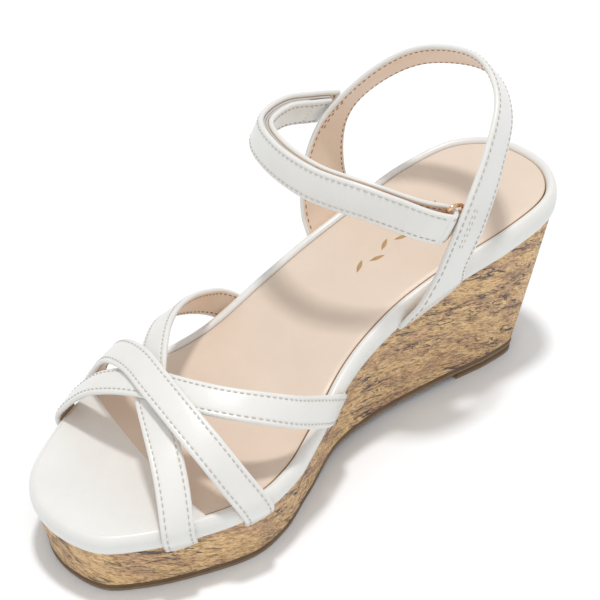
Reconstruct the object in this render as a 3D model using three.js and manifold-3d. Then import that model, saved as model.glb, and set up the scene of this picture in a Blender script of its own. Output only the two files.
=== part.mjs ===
// Child's wedge sandal, right foot, in millimetres.
// Frame: +Z up, toe towards -Y, heel towards +Y, inner (medial) side of the foot towards +X.
// The origin is on the floor under the middle of the heel.

import * as THREE from 'three';
import { mergeVertices } from 'three/addons/utils/BufferGeometryUtils.js';
import Module from 'manifold-3d';

const wasm = await Module();
wasm.setup();

// ---------------------------------------------------------------- driving dimensions

// Footbed outline seen from above, one point per bend, from the toe tip round the medial side.
const TOE_TIP = [8.5, -171.5];
const HEEL_TIP = [0, 29.3];
const MEDIAL_EDGE = [
  [22.9, -168], [30.5, -159], [37.6, -144.5], [43.7, -122], [40.5, -106], [32.5, -90],
  [24, -71], [21.8, -52], [24, -28], [27.2, -3], [25, 17.5], [14.5, 27],
];
const LATERAL_EDGE = [
  [-5.5, -169.3], [-15.5, -163], [-25.5, -148.5], [-33.5, -130], [-35.7, -113], [-33.6, -90],
  [-30, -61], [-27, -31], [-27.2, -2], [-23, 16.5], [-13, 26.3],
];
// Height of the footbed edge above the floor, as [y, z].
const BED_HEIGHT = [
  [-172, 22.5], [-140, 23.3], [-112, 25], [-93, 25.6], [-80, 28.4], [-60, 37.9],
  [-40, 46.2], [-15, 52.9], [10, 57.5], [30, 61.3],
];
const RUNGS = 42;                 // stations along the sole
const RUNG_SPLITS = 2;            // pieces across each station

const LAYER_GAP = 0.2;            // glue line between stacked layers
const WRAP_GAP = 0.5;             // glue line between the cork wrap and the core
const OUTSOLE_THICKNESS = 2.4;
const EDGE_SLOPE = 0.4;           // rubber edges lean in towards the floor
const WAIST_LIFT = 2.4;           // how far the outsole lifts off the floor under the arch
const WAIST_START = -90;
const WAIST_FULL = -70;
const HEEL_BREAST = -19;          // front edge of the heel lift
const CORK_THICKNESS = 0.8;
const CORK_TOP_INSET = 1.2;
const FOREPART_TAPER = 4.2;       // how far the wedge leans in from rim to floor
const HEEL_TAPER = 8.4;
const HEEL_RAKE = 7.8;            // how far the back of the wedge slopes forward besides
const RAKE_START = -20;
const RIM_WIDTH = 3.8;
const RIM_HEIGHT_FORE = 5.4;
const RIM_HEIGHT_HEEL = 7.2;
const RIM_CREST = 0.5;            // rim crest above the footbed edge
const TOE_DOME = 1.0;             // extra height in the middle of the toe cover
const SOCK_THICKNESS = 0.9;
const LATEX_THICKNESS = 3.4;
const BOARD_THICKNESS = 1.5;
const BED_EDGE_GAP = 0.3;         // sock and pad stop this far short of the rim
const SOCK_FRONT = [[-40, -125], [-4, -133.5], [50, -141]];

const SHANK = { start: -88, end: 6, width: 11, thickness: 1.1 };
const SHANK_CENTRE_X = -2.5;
const SLOT = { ends: 0.5, sides: 0.5, below: 0.3, above: 3 };   // room cut in the core round it
const RIVET_RADIUS = 1.6;
const RIVET_CLEARANCE = 0.2;
const RIVET_Y = [-80, -4];
const RIVET_SET_IN = -0.45;       // pin ends stay below the sloping faces
const RIVET_HOLE_OVERRUN = 3;

const STRAP_COVER = 0.95;         // folded upper material
const STRAP_LINING = 0.65;
const STRAP_GLUE = 0.1;
const VAMP_STRAP_WIDTH = 10;
const VAMP_CLEARANCE = 2.4;       // strap centre outside the rim at its ends
const VAMP_BASE = -4;             // strap end relative to the footbed edge
const VAMP_TUCK = 2.4;            // straight end that reaches down to the cork
const VAMP_RISE = 31.4;           // arch height at VAMP_RISE_Y
const VAMP_RISE_Y = -119;
const VAMP_RISE_SLOPE = 0.39;
const VAMP_HOLLOW = 5.5;          // how far the arch's lateral side is pressed in
const HOLLOW_PEAK = 2.6;          // 1 / the largest value of sin^2 * cos
// Each strap runs from its lateral y to its medial y; bow and swing bend the path; layer is
// its place in the stack where the three cross.
const VAMP_STRAPS = {
  a: { lateral: -69.9, medial: -148.6, bow: -21.9, swing: -8.2, layer: 0 },
  b: { lateral: -137, medial: -77.4, bow: -22.2, swing: 9.7, layer: 1 },
  c: { lateral: -122.3, medial: -124.2, bow: -5.5, swing: 3.4, layer: 2 },
};
const CROSSING_FLAT = 0.2;        // part of the path either side of the crossing at full offset
const CROSSING_FADE = 0.18;

const HEEL_STRAP_WIDTH = 12.5;
const HEEL_STRAP_FLARE = 9.3;     // extra width where it meets the rim
const LATERAL_FLARE_PART = 0.2;   // parts of the strap's length over which the flare runs out
const MEDIAL_FLARE_PART = 0.1;
const HEEL_STRAP_LINE = [
  [-29.3, -29, 42.3], [-34.9, -27.4, 58.4], [-37.6, -19.7, 75.2], [-31.6, -9.5, 88],
  [-20.2, 1.3, 97.2], [1.9, 6.7, 101.7], [19.9, -1.5, 97.8], [29.2, -14.8, 87.7],
  [32.3, -26, 73.3], [29.8, -32.8, 56.3], [26, -37, 40.5],
];
// Lean of the band from the horizontal, in radians, against the part of its length.
const HEEL_STRAP_LEAN = [
  [0, -0.27], [0.2, -0.1], [0.3, 0.31], [0.4, 0.77], [0.5, 0.88], [0.7, 1], [0.8, 0.74],
  [0.9, 0.31], [1, -0.14],
];

// Middle of the run round the front of the ankle, from the lateral leg to the ring's bar.
const ANKLE_STRAP_WIDTH = 11.2;
const ANKLE_LINE = [
  [-40.3, -16.3, 76.2], [-40.8, -25.6, 79.1], [-40.9, -37, 82.2], [-35.9, -49.2, 83.6],
  [-22.8, -55.8, 84.3], [-3.7, -56.9, 83.5], [13.2, -50.7, 82], [22.6, -41.4, 76.9],
  [25.8, -34.4, 73.6],
];
// How far the strap's width tips to the medial side, and back, for each millimetre upwards,
// against the part of its length.
const ANKLE_TIP_SIDEWAYS = [[0, 0.5], [0.5, 0.44], [1, 0.34]];
const ANKLE_TIP_BACK = [[0, -0.13], [0.5, 0.17], [0.75, 0.4], [1, 0.46]];
const ANKLE_MIDDLE = [0, -22, 80];
const RUN_START = 0.05;           // where the run starts, lapped on the lateral leg
const TAPE_THICKNESS = 0.6;
const TAPE_WIDTH = 9;
const HOOK_PART = [0.04, 0.5];    // hook tape on the flap, as parts of the ankle line
const LOOP_PART = [0.12, 0.62];
const CLOSURE_GAP = 0.15;

const FOLD_RADIUS = 2.6;          // strap centre round the ring's front bar
const FOLD_END = 102;             // degrees, where the run's part of the fold stops
const FOLD_OPENING = 0.86;        // part of the line from which the flap opens out to the fold
const RING_BAR_SPACING = 6.6;     // between the centres of the front and rear bars
const RING_INNER_HEIGHT = 12.4;
const RING_WIRE = 0.65;           // radius
const RING_CORNER = 2.2;
const RING_HEADING = [-0.05, 0.9, -0.42]; // from the front bar to the rear bar
const TAB_RADIUS = 1.4;
const TAB_THICKNESS = 0.85;
const TAB_HEIGHT = 8.2;
const TAB_LENGTH = 6;

const FOIL = { start: -44, end: -8, halfWidth: 3.2, thickness: 0.15, lift: 0.12, centreX: 0 };

const COLOURS = {
  cover: 0xe9e8e4, sock: 0xecd9c9, lining: 0xd8b99c, cork: 0xc49a64, rubber: 0x5a4030,
  board: 0xb08a62, latex: 0xf3ead2, foam: 0xcfc4b0, steel: 0x8d9196, gold: 0xd9a27c,
  foil: 0xc8a24a, tape: 0xefefec,
};

// ---------------------------------------------------------------- small helpers

function vec(p) {
  return new THREE.Vector3(p[0], p[1], p[2]);
}

function smoothStep(from, to, value) {
  const t = Math.min(1, Math.max(0, (value - from) / (to - from)));
  return t * t * (3 - 2 * t);
}

// Smooth function through [input, output] pairs.
function smoothTable(rows) {
  const slope = (i) => {
    const a = rows[Math.max(0, i - 1)];
    const b = rows[Math.min(rows.length - 1, i + 1)];
    return (b[1] - a[1]) / (b[0] - a[0]);
  };
  return (x) => {
    let i = 0;
    while (i < rows.length - 2 && x > rows[i + 1][0]) i += 1;
    const step = rows[i + 1][0] - rows[i][0];
    const t = Math.min(1, Math.max(0, (x - rows[i][0]) / step));
    const t2 = t * t;
    const t3 = t2 * t;
    return (2 * t3 - 3 * t2 + 1) * rows[i][1] + (t3 - 2 * t2 + t) * step * slope(i)
      + (3 * t2 - 2 * t3) * rows[i + 1][1] + (t3 - t2) * step * slope(i + 1);
  };
}

function signedVolume(positions, triangles) {
  let volume = 0;
  for (let i = 0; i < triangles.length; i += 3) {
    const [a, b, c] = [0, 1, 2].map((k) => positions[triangles[i + k]]);
    volume += a.dot(new THREE.Vector3().crossVectors(b, c)) / 6;
  }
  return volume;
}

// Closed geometry from points and triangles, turned so that its faces point out.
function solid(positions, triangles) {
  const ordered = [];
  const flip = signedVolume(positions, triangles) < 0;
  for (let i = 0; i < triangles.length; i += 3) {
    const [a, b, c] = triangles.slice(i, i + 3);
    ordered.push(a, flip ? c : b, flip ? b : c);
  }
  const geometry = new THREE.BufferGeometry();
  geometry.setAttribute('position',
    new THREE.Float32BufferAttribute(positions.flatMap((p) => [p.x, p.y, p.z]), 3));
  geometry.setIndex(ordered);
  return geometry;
}

// Skin over a row of equal rings of points; an open row is capped at both ends. Each
// four-sided patch is split along its shorter diagonal, so facing skins split alike.
function loft(rings, closed = false) {
  const size = rings[0].length;
  const all = rings.flat();
  const triangles = [];
  const last = closed ? rings.length : rings.length - 1;
  for (let i = 0; i < last; i += 1) {
    const here = i * size;
    const next = ((i + 1) % rings.length) * size;
    for (let k = 0; k < size; k += 1) {
      const k2 = (k + 1) % size;
      const [a, b, c, d] = [here + k, here + k2, next + k2, next + k];
      if (all[a].distanceTo(all[c]) < all[b].distanceTo(all[d])) {
        triangles.push(a, b, c, a, c, d);
      } else {
        triangles.push(a, b, d, b, c, d);
      }
    }
  }
  if (!closed) {
    const end = (rings.length - 1) * size;
    for (let k = 1; k < size - 1; k += 1) {
      triangles.push(0, k + 1, k);
      triangles.push(end, end + k, end + k + 1);
    }
  }
  return solid(all, triangles);
}

function toManifold(geometry) {
  const bare = geometry.clone();
  bare.deleteAttribute('normal');
  bare.deleteAttribute('uv');
  const merged = mergeVertices(bare, 1e-4);
  return new wasm.Manifold(new wasm.Mesh({
    numProp: 3,
    vertProperties: new Float32Array(merged.attributes.position.array),
    triVerts: new Uint32Array(merged.index.array),
  }));
}

function fromManifold(body) {
  const mesh = body.getMesh();
  const geometry = new THREE.BufferGeometry();
  geometry.setAttribute('position', new THREE.Float32BufferAttribute(mesh.vertProperties, 3));
  geometry.setIndex(Array.from(mesh.triVerts));
  return geometry;
}

const cut = (body, ...tools) => fromManifold(
  tools.reduce((left, tool) => left.subtract(toManifold(tool)), toManifold(body)));
const join = (first, second) => fromManifold(toManifold(first).add(toManifold(second)));
const common = (first, second) => fromManifold(toManifold(first).intersect(toManifold(second)));

// ---------------------------------------------------------------- sole shapes

const bedHeight = smoothTable(BED_HEIGHT);

// Footbed edge as a loop of points: toe tip, medial side, heel tip, lateral side back again.
function footbedLoop() {
  const loop = [TOE_TIP, ...MEDIAL_EDGE, HEEL_TIP, ...[...LATERAL_EDGE].reverse()];
  const curve = new THREE.CatmullRomCurve3(
    loop.map(([x, y]) => new THREE.Vector3(x, y, 0)), true, 'centripetal');
  const fine = curve.getPoints(900);
  const xAt = (y, side) => {
    let best = side > 0 ? -Infinity : Infinity;
    for (let i = 0; i < fine.length - 1; i += 1) {
      const [a, b] = [fine[i], fine[i + 1]];
      if ((a.y - y) * (b.y - y) <= 0 && a.y !== b.y) {
        const x = a.x + (b.x - a.x) * (y - a.y) / (b.y - a.y);
        best = side > 0 ? Math.max(best, x) : Math.min(best, x);
      }
    }
    return best;
  };
  const toe = fine.reduce((a, b) => (b.y < a.y ? b : a));
  const heel = fine.reduce((a, b) => (b.y > a.y ? b : a));
  const stations = [];
  for (let i = 1; i < RUNGS; i += 1) {
    const part = i / RUNGS;
    const bunched = 0.1 * part + 0.9 * (1 - Math.cos(Math.PI * part)) / 2;
    stations.push(toe.y + (heel.y - toe.y) * bunched);
  }
  const medial = stations.map((y) => new THREE.Vector2(xAt(y, 1), y));
  const lateral = stations.map((y) => new THREE.Vector2(xAt(y, -1), y)).reverse();
  return {
    points: [new THREE.Vector2(toe.x, toe.y), ...medial,
      new THREE.Vector2(heel.x, heel.y), ...lateral],
    xAt,
  };
}

const footbed = footbedLoop();
const LOOP = footbed.points;
const INWARD = LOOP.map((_, i) => {
  const before = LOOP[(i + LOOP.length - 1) % LOOP.length];
  const after = LOOP[(i + 1) % LOOP.length];
  return new THREE.Vector2(before.y - after.y, after.x - before.x).normalize();
});

const rake = (y) => HEEL_RAKE * smoothStep(RAKE_START, HEEL_TIP[1], y);

// Point i of the loop, moved in by inset, at height z(y); raked is 1 at floor level, where
// the sloping back of the wedge has moved furthest forward.
function loopPoint(i, inset, z, raked = 0) {
  const depth = typeof inset === 'function' ? inset(LOOP[i].y) : inset;
  const flat = LOOP[i].clone().addScaledVector(INWARD[i], depth);
  flat.y -= raked * rake(LOOP[i].y);
  return new THREE.Vector3(flat.x, flat.y, z(flat.y));
}

// Solid between a lower and an upper loop, each { inset, z, raked }; dome lifts the upper middle.
function layer(lower, upper, dome = 0) {
  const positions = [];
  const triangles = [];
  const count = LOOP.length;
  const grid = (level, rise) => {
    const rows = [];
    for (let i = 1; i < RUNGS; i += 1) {
      const right = loopPoint(i, level.inset, level.z, level.raked);
      const left = loopPoint(count - i, level.inset, level.z, level.raked);
      const row = [];
      for (let k = 0; k <= RUNG_SPLITS; k += 1) {
        const part = k / RUNG_SPLITS;
        const point = right.clone().lerp(left, part);
        point.z += rise * 4 * part * (1 - part);
        row.push(positions.push(point) - 1);
      }
      rows.push(row);
    }
    const toe = positions.push(loopPoint(0, level.inset, level.z, level.raked)) - 1;
    const heel = positions.push(loopPoint(RUNGS, level.inset, level.z, level.raked)) - 1;
    return { rows, toe, heel };
  };
  const cap = ({ rows, toe, heel }, up) => {
    const add = (a, b, c) => triangles.push(a, up ? b : c, up ? c : b);
    const lastRow = rows[rows.length - 1];
    for (let k = 0; k < RUNG_SPLITS; k += 1) {
      add(toe, rows[0][k], rows[0][k + 1]);
      add(heel, lastRow[k + 1], lastRow[k]);
      for (let i = 0; i < rows.length - 1; i += 1) {
        add(rows[i][k], rows[i + 1][k], rows[i + 1][k + 1]);
        add(rows[i][k], rows[i + 1][k + 1], rows[i][k + 1]);
      }
    }
  };
  const rim = ({ rows, toe, heel }) => [
    toe, ...rows.map((row) => row[0]), heel, ...rows.map((row) => row[RUNG_SPLITS]).reverse(),
  ];
  const below = grid(lower, 0);
  const above = grid(upper, dome);
  cap(below, false);
  cap(above, true);
  const [low, high] = [rim(below), rim(above)];
  for (let i = 0; i < count; i += 1) {
    const j = (i + 1) % count;
    triangles.push(low[i], low[j], high[j]);
    triangles.push(low[i], high[j], high[i]);
  }
  return solid(positions, triangles);
}

// Closed band round the sole; profile(i) gives the ring of points at loop point i.
function band(profile) {
  return loft(LOOP.map((_, i) => profile(i)), true);
}

// Upright prism from a flat outline, used to cut or keep part of a layer.
function prism(outline, bottom, top) {
  const shape = new THREE.Shape(outline.map(([x, y]) => new THREE.Vector2(x, y)));
  const geometry = new THREE.ExtrudeGeometry(shape, { depth: top - bottom, bevelEnabled: false });
  geometry.translate(0, 0, bottom);
  return geometry;
}

const SIDE_REACH = 80;
const HIGH = 120;

// Everything behind the curved front edge of the sock, moved back by setback.
function behindSockFront(setback) {
  const curve = new THREE.CatmullRomCurve3(
    SOCK_FRONT.map(([x, y]) => new THREE.Vector3(x, y + setback, 0)));
  const edge = curve.getPoints(12).map((p) => [p.x, p.y]);
  return prism([...edge, [SIDE_REACH, HIGH], [-SIDE_REACH, HIGH]], -1, HIGH);
}

const rimDrop = (y) => RIM_HEIGHT_FORE
  + (RIM_HEIGHT_HEEL - RIM_HEIGHT_FORE) * smoothStep(-100, 0, y);
const waist = (y) => WAIST_LIFT * smoothStep(WAIST_START, WAIST_FULL, y);
const outsoleTop = (y) => OUTSOLE_THICKNESS + waist(y);
const taper = (y) => FOREPART_TAPER + (HEEL_TAPER - FOREPART_TAPER) * smoothStep(-90, 10, y);
const wedgeBottom = (y) => outsoleTop(y) + LAYER_GAP;
const rimBottom = (y) => bedHeight(y) - rimDrop(y);
const corkTop = (y) => rimBottom(y) - LAYER_GAP;

const sockTop = (y) => bedHeight(y);
const sockBottom = (y) => sockTop(y) - SOCK_THICKNESS;
const latexTop = (y) => sockBottom(y) - LAYER_GAP;
const latexBottom = (y) => latexTop(y) - LATEX_THICKNESS;
const boardTop = (y) => latexBottom(y) - LAYER_GAP;
const boardBottom = (y) => boardTop(y) - BOARD_THICKNESS;
const coreTop = (y) => Math.min(boardBottom(y), rimBottom(y)) - LAYER_GAP;

function outsole() {
  return layer(
    { inset: (y) => taper(y) + EDGE_SLOPE, z: waist, raked: 1 },
    { inset: taper, z: outsoleTop, raked: 1 },
  );
}

function heelLift() {
  const blank = layer(
    { inset: (y) => taper(y) + 2 * EDGE_SLOPE, z: () => 0, raked: 1 },
    { inset: (y) => taper(y) + EDGE_SLOPE, z: () => WAIST_LIFT - LAYER_GAP, raked: 1 },
  );
  const heelBox = [[-SIDE_REACH, HEEL_BREAST], [SIDE_REACH, HEEL_BREAST],
    [SIDE_REACH, HIGH], [-SIDE_REACH, HIGH]];
  return common(blank, prism(heelBox, -1, HIGH));
}

function corkWrap() {
  return band((i) => [
    loopPoint(i, taper, wedgeBottom, 1),
    loopPoint(i, CORK_TOP_INSET, corkTop),
    loopPoint(i, CORK_TOP_INSET + CORK_THICKNESS, corkTop),
    loopPoint(i, (y) => taper(y) + CORK_THICKNESS, wedgeBottom, 1),
  ]);
}

// Strip along the sole between two heights, used for the shank and the slot it lies in.
function soleStrip(start, end, width, low, high) {
  const rings = [];
  const steps = 24;
  for (let i = 0; i <= steps; i += 1) {
    const y = start + (end - start) * i / steps;
    const [left, right] = [SHANK_CENTRE_X - width / 2, SHANK_CENTRE_X + width / 2];
    rings.push([
      new THREE.Vector3(left, y, low(y)), new THREE.Vector3(right, y, low(y)),
      new THREE.Vector3(right, y, high(y)), new THREE.Vector3(left, y, high(y)),
    ]);
  }
  return loft(rings);
}

const shankTop = (y) => boardBottom(y) - LAYER_GAP;
const shankBottom = (y) => shankTop(y) - SHANK.thickness;

function rivetPin(y, radius, reach) {
  const bottom = shankBottom(y) - reach;
  const top = boardTop(y) + reach;
  const pin = new THREE.CylinderGeometry(radius, radius, top - bottom, 20);
  pin.rotateX(Math.PI / 2);
  pin.translate(SHANK_CENTRE_X, y, (top + bottom) / 2);
  return pin;
}

const rivetHoles = RIVET_Y.map(
  (y) => rivetPin(y, RIVET_RADIUS + RIVET_CLEARANCE, RIVET_HOLE_OVERRUN));

function shank() {
  const strip = soleStrip(SHANK.start, SHANK.end, SHANK.width, shankBottom, shankTop);
  return cut(strip, ...rivetHoles);
}

function wedgeCore() {
  const blank = layer(
    { inset: (y) => taper(y) + CORK_THICKNESS + WRAP_GAP, z: wedgeBottom, raked: 1 },
    { inset: CORK_TOP_INSET + CORK_THICKNESS + WRAP_GAP, z: coreTop },
  );
  const slot = soleStrip(SHANK.start - SLOT.ends, SHANK.end + SLOT.ends,
    SHANK.width + 2 * SLOT.sides, (y) => shankBottom(y) - SLOT.below, (y) => shankTop(y) + SLOT.above);
  return cut(blank, slot);
}

function insoleBoard() {
  const inset = RIM_WIDTH + BED_EDGE_GAP;
  const board = layer({ inset, z: boardBottom }, { inset, z: boardTop });
  return cut(board, ...rivetHoles);
}

function bedLayer(low, high) {
  const inset = RIM_WIDTH + BED_EDGE_GAP;
  return common(layer({ inset, z: low }, { inset, z: high }), behindSockFront(BED_EDGE_GAP));
}

function rimBinding() {
  const crest = (y) => bedHeight(y) + RIM_CREST;
  const at = (part) => (y) => crest(y) - part * (rimDrop(y) + RIM_CREST);
  const ring = band((i) => [
    loopPoint(i, 0.7, at(1)),
    loopPoint(i, 0.1, at(0.82)),
    loopPoint(i, 0, at(0.5)),
    loopPoint(i, 0.5, at(0.2)),
    loopPoint(i, 1.5, at(0.03)),
    loopPoint(i, 2.6, at(0)),
    loopPoint(i, RIM_WIDTH, at(0.12)),
    loopPoint(i, RIM_WIDTH, at(1)),
  ]);
  const plate = layer(
    { inset: 2.4, z: (y) => latexBottom(y) + 0.1 },
    { inset: 2.4, z: (y) => bedHeight(y) + 0.3 },
    TOE_DOME,
  );
  return join(ring, cut(plate, behindSockFront(0)));
}

function foilOrnament() {
  const rings = [];
  const steps = 14;
  for (let i = 0; i <= steps; i += 1) {
    const part = i / steps;
    const y = FOIL.start + (FOIL.end - FOIL.start) * part;
    const half = 0.3 + FOIL.halfWidth * Math.sin(Math.PI * part);
    const low = sockTop(y) + FOIL.lift;
    rings.push([[-half, 0], [half, 0], [half, FOIL.thickness], [-half, FOIL.thickness]]
      .map(([x, z]) => new THREE.Vector3(FOIL.centreX + x, y, low + z)));
  }
  return loft(rings);
}

// ---------------------------------------------------------------- straps

// Band along frames { centre, across, out }; the slab lies between two offsets along out.
function strap(frames, widthAt, inner, outer) {
  return loft(frames.map(({ centre, across, out }, i) => {
    const half = widthAt(i / (frames.length - 1)) / 2;
    const corner = (side, offset) => centre.clone()
      .addScaledVector(across, side * half).addScaledVector(out, offset);
    return [corner(-1, inner), corner(1, inner), corner(1, outer), corner(-1, outer)];
  }));
}

// Frames along a row of points whose across direction is near the one given.
function framesAlong(points, acrossAt, outwardHint) {
  return points.map((centre, i) => {
    const before = points[Math.max(0, i - 1)];
    const after = points[Math.min(points.length - 1, i + 1)];
    const along = after.clone().sub(before).normalize();
    const across = acrossAt(i);
    across.addScaledVector(along, -across.dot(along)).normalize();
    const out = new THREE.Vector3().crossVectors(along, across).normalize();
    if (out.dot(outwardHint(centre)) < 0) out.negate();
    return { centre, across, out };
  });
}

// The stretched form that the vamp straps lie on: angle 0 is the lateral edge, PI the medial.
function vampForm(y, angle) {
  const lateral = footbed.xAt(y, -1);
  const medial = footbed.xAt(y, 1);
  const reach = (medial - lateral) / 2 + VAMP_CLEARANCE;
  const rise = VAMP_RISE + VAMP_RISE_SLOPE * (y - VAMP_RISE_Y);
  const side = Math.cos(angle);
  const up = Math.sin(angle);
  const hollow = VAMP_HOLLOW * HOLLOW_PEAK * up * up * Math.max(0, side);
  return new THREE.Vector3((medial + lateral) / 2 - reach * side + hollow, y,
    bedHeight(y) + VAMP_BASE + rise * up);
}

const STRAP_STACK = STRAP_COVER + STRAP_LINING + STRAP_GLUE;
const CROSSING_STEP = STRAP_STACK + 0.35;

function vampFrames({ lateral, medial, bow, swing, layer: level }) {
  const steps = 30;
  const points = [];
  const slopes = [];
  for (let i = 0; i <= steps; i += 1) {
    const angle = Math.PI * i / steps;
    const y = lateral + (medial - lateral) * (1 - Math.cos(angle)) / 2
      + bow * Math.sin(angle) + swing * Math.sin(2 * angle);
    points.push(vampForm(y, angle));
    slopes.push(vampForm(y + 2, angle).sub(vampForm(y - 2, angle)));
  }
  const tuck = (end, before) => end.clone()
    .addScaledVector(end.clone().sub(before).normalize(), VAMP_TUCK);
  const path = [tuck(points[0], points[1]), ...points,
    tuck(points[steps], points[steps - 1])];
  const across = [slopes[0], ...slopes, slopes[steps]];
  const spine = new THREE.Vector3(4, -125, 18);
  const frames = framesAlong(path, (i) => across[i].clone(), (p) => p.clone().sub(spine));
  return frames.map((frame, i) => {
    const part = Math.abs(i / (path.length - 1) - 0.5);
    const lift = 1 - smoothStep(CROSSING_FLAT, CROSSING_FLAT + CROSSING_FADE, part);
    const centre = frame.centre.clone().addScaledVector(frame.out, level * CROSSING_STEP * lift);
    return { ...frame, centre };
  });
}

const COVER_INNER = STRAP_LINING + STRAP_GLUE - STRAP_STACK / 2;
const COVER_OUTER = STRAP_STACK / 2;
const LINING_INNER = -STRAP_STACK / 2;
const LINING_OUTER = STRAP_LINING - STRAP_STACK / 2;

function heelStrapFrames() {
  const curve = new THREE.CatmullRomCurve3(HEEL_STRAP_LINE.map(vec), false, 'centripetal');
  const steps = 36;
  const points = curve.getSpacedPoints(steps);
  const lean = smoothTable(HEEL_STRAP_LEAN);
  const middle = new THREE.Vector3(-2, -35, 60);
  return framesAlong(points, (i) => {
    const angle = lean(i / steps);
    return new THREE.Vector3(0, -Math.cos(angle), Math.sin(angle));
  }, (p) => p.clone().sub(middle));
}

function heelStrapWidth(part) {
  const lateral = 1 - smoothStep(0, LATERAL_FLARE_PART, part);
  const medial = 1 - smoothStep(0, MEDIAL_FLARE_PART, 1 - part);
  return HEEL_STRAP_WIDTH + HEEL_STRAP_FLARE * (lateral + medial);
}

// The closure is one line round the ankle; the flap runs outside the run and opens out near
// the ring, so that the ring's front bar has room to swing in the fold.
const TAPE_STACK = 2 * TAPE_THICKNESS + 3 * CLOSURE_GAP;
const FLAP_OFFSET = STRAP_STACK + TAPE_STACK;
const ANKLE_STEPS = 44;

function ankleFrames() {
  const curve = new THREE.CatmullRomCurve3(ANKLE_LINE.map(vec), false, 'centripetal');
  const sideways = smoothTable(ANKLE_TIP_SIDEWAYS);
  const back = smoothTable(ANKLE_TIP_BACK);
  const middle = vec(ANKLE_MIDDLE);
  const tip = (i) => new THREE.Vector3(sideways(i / ANKLE_STEPS), back(i / ANKLE_STEPS), 1);
  return framesAlong(curve.getSpacedPoints(ANKLE_STEPS), tip, (p) => p.clone().sub(middle));
}

const ankleLine = ankleFrames();
const lineEnd = ankleLine[ANKLE_STEPS];
const ringBar = lineEnd.centre.clone().addScaledVector(lineEnd.out, FOLD_RADIUS);
const foldAlong = new THREE.Vector3().crossVectors(lineEnd.across, lineEnd.out);
if (foldAlong.y < 0) foldAlong.negate();

const flapFrames = ankleLine.map(({ centre, across, out }, i) => {
  const opening = smoothStep(FOLD_OPENING, 1, i / ANKLE_STEPS);
  const offset = FLAP_OFFSET + (2 * FOLD_RADIUS - FLAP_OFFSET) * opening;
  return { centre: centre.clone().addScaledVector(out, offset), across, out };
});

// The run has its cover towards the ankle; past the fold the same band is the flap, with its
// cover outwards.
const runLine = ankleLine.map(({ centre, across, out }) => ({
  centre, across, out: out.clone().negate(),
}));

function partOf(frames, [from, to]) {
  const last = frames.length - 1;
  return frames.slice(Math.round(from * last), Math.round(to * last) + 1);
}

function runFrames() {
  const frames = partOf(runLine, [RUN_START, 1]);
  const steps = 6;
  for (let i = 1; i <= steps; i += 1) {
    const angle = THREE.MathUtils.degToRad(180 - (180 - FOLD_END) * i / steps);
    const spoke = lineEnd.out.clone().multiplyScalar(Math.cos(angle))
      .addScaledVector(foldAlong, Math.sin(angle));
    frames.push({
      centre: ringBar.clone().addScaledVector(spoke, FOLD_RADIUS),
      across: lineEnd.across,
      out: spoke,
    });
  }
  return frames;
}

// The ring's own frame: origin on the front bar, x outwards, y towards the rear bar, z along
// the bars.
function ringPlace() {
  const up = lineEnd.across;
  const heading = vec(RING_HEADING);
  heading.addScaledVector(up, -heading.dot(up)).normalize();
  const side = new THREE.Vector3().crossVectors(heading, up);
  return new THREE.Matrix4().makeBasis(side, heading, up).setPosition(ringBar);
}

// The ring is a rounded rectangle of round wire.
function ring() {
  const halfDepth = RING_BAR_SPACING / 2;
  const halfHeight = RING_INNER_HEIGHT / 2 + RING_WIRE;
  const corners = [[1, 1], [-1, 1], [-1, -1], [1, -1]];
  const bends = 6;
  const sides = 10;
  const path = [];
  corners.forEach(([sy, sz], quarter) => {
    for (let i = 0; i <= bends; i += 1) {
      const angle = Math.PI / 2 * (quarter + i / bends);
      path.push(new THREE.Vector3(0,
        halfDepth + sy * (halfDepth - RING_CORNER) + RING_CORNER * Math.cos(angle),
        sz * (halfHeight - RING_CORNER) + RING_CORNER * Math.sin(angle)));
    }
  });
  const rings = path.map((p, i) => {
    const before = path[(i + path.length - 1) % path.length];
    const after = path[(i + 1) % path.length];
    const along = after.clone().sub(before).normalize();
    const side = new THREE.Vector3(1, 0, 0);
    const up = new THREE.Vector3().crossVectors(along, side);
    return Array.from({ length: sides }, (_, k) => {
      const angle = 2 * Math.PI * k / sides;
      return p.clone().addScaledVector(side, RING_WIRE * Math.cos(angle))
        .addScaledVector(up, RING_WIRE * Math.sin(angle));
    });
  });
  return loft(rings, true);
}

// A short folded band round the ring's rear bar, its two ends side by side behind the bar.
function ringTab() {
  const frames = [];
  const bends = 10;
  const push = (x, y, nx, ny) => frames.push({
    centre: new THREE.Vector3(x, RING_BAR_SPACING + y, 0),
    across: new THREE.Vector3(0, 0, 1),
    out: new THREE.Vector3(nx, ny, 0),
  });
  push(TAB_RADIUS, TAB_LENGTH, 1, 0);
  for (let i = 0; i <= bends; i += 1) {
    const [x, y] = [Math.cos(-Math.PI * i / bends), Math.sin(-Math.PI * i / bends)];
    push(TAB_RADIUS * x, TAB_RADIUS * y, x, y);
  }
  push(-TAB_RADIUS, TAB_LENGTH, -1, 0);
  return strap(frames, () => TAB_HEIGHT, -TAB_THICKNESS / 2, TAB_THICKNESS / 2);
}

// ---------------------------------------------------------------- the object

const sandal = new THREE.Group();

function addPart(name, geometry, colour, roughness, metalness = 0) {
  const material = new THREE.MeshStandardMaterial({ color: colour, roughness, metalness });
  const mesh = new THREE.Mesh(geometry, material);
  mesh.name = name;
  sandal.add(mesh);
}

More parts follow.
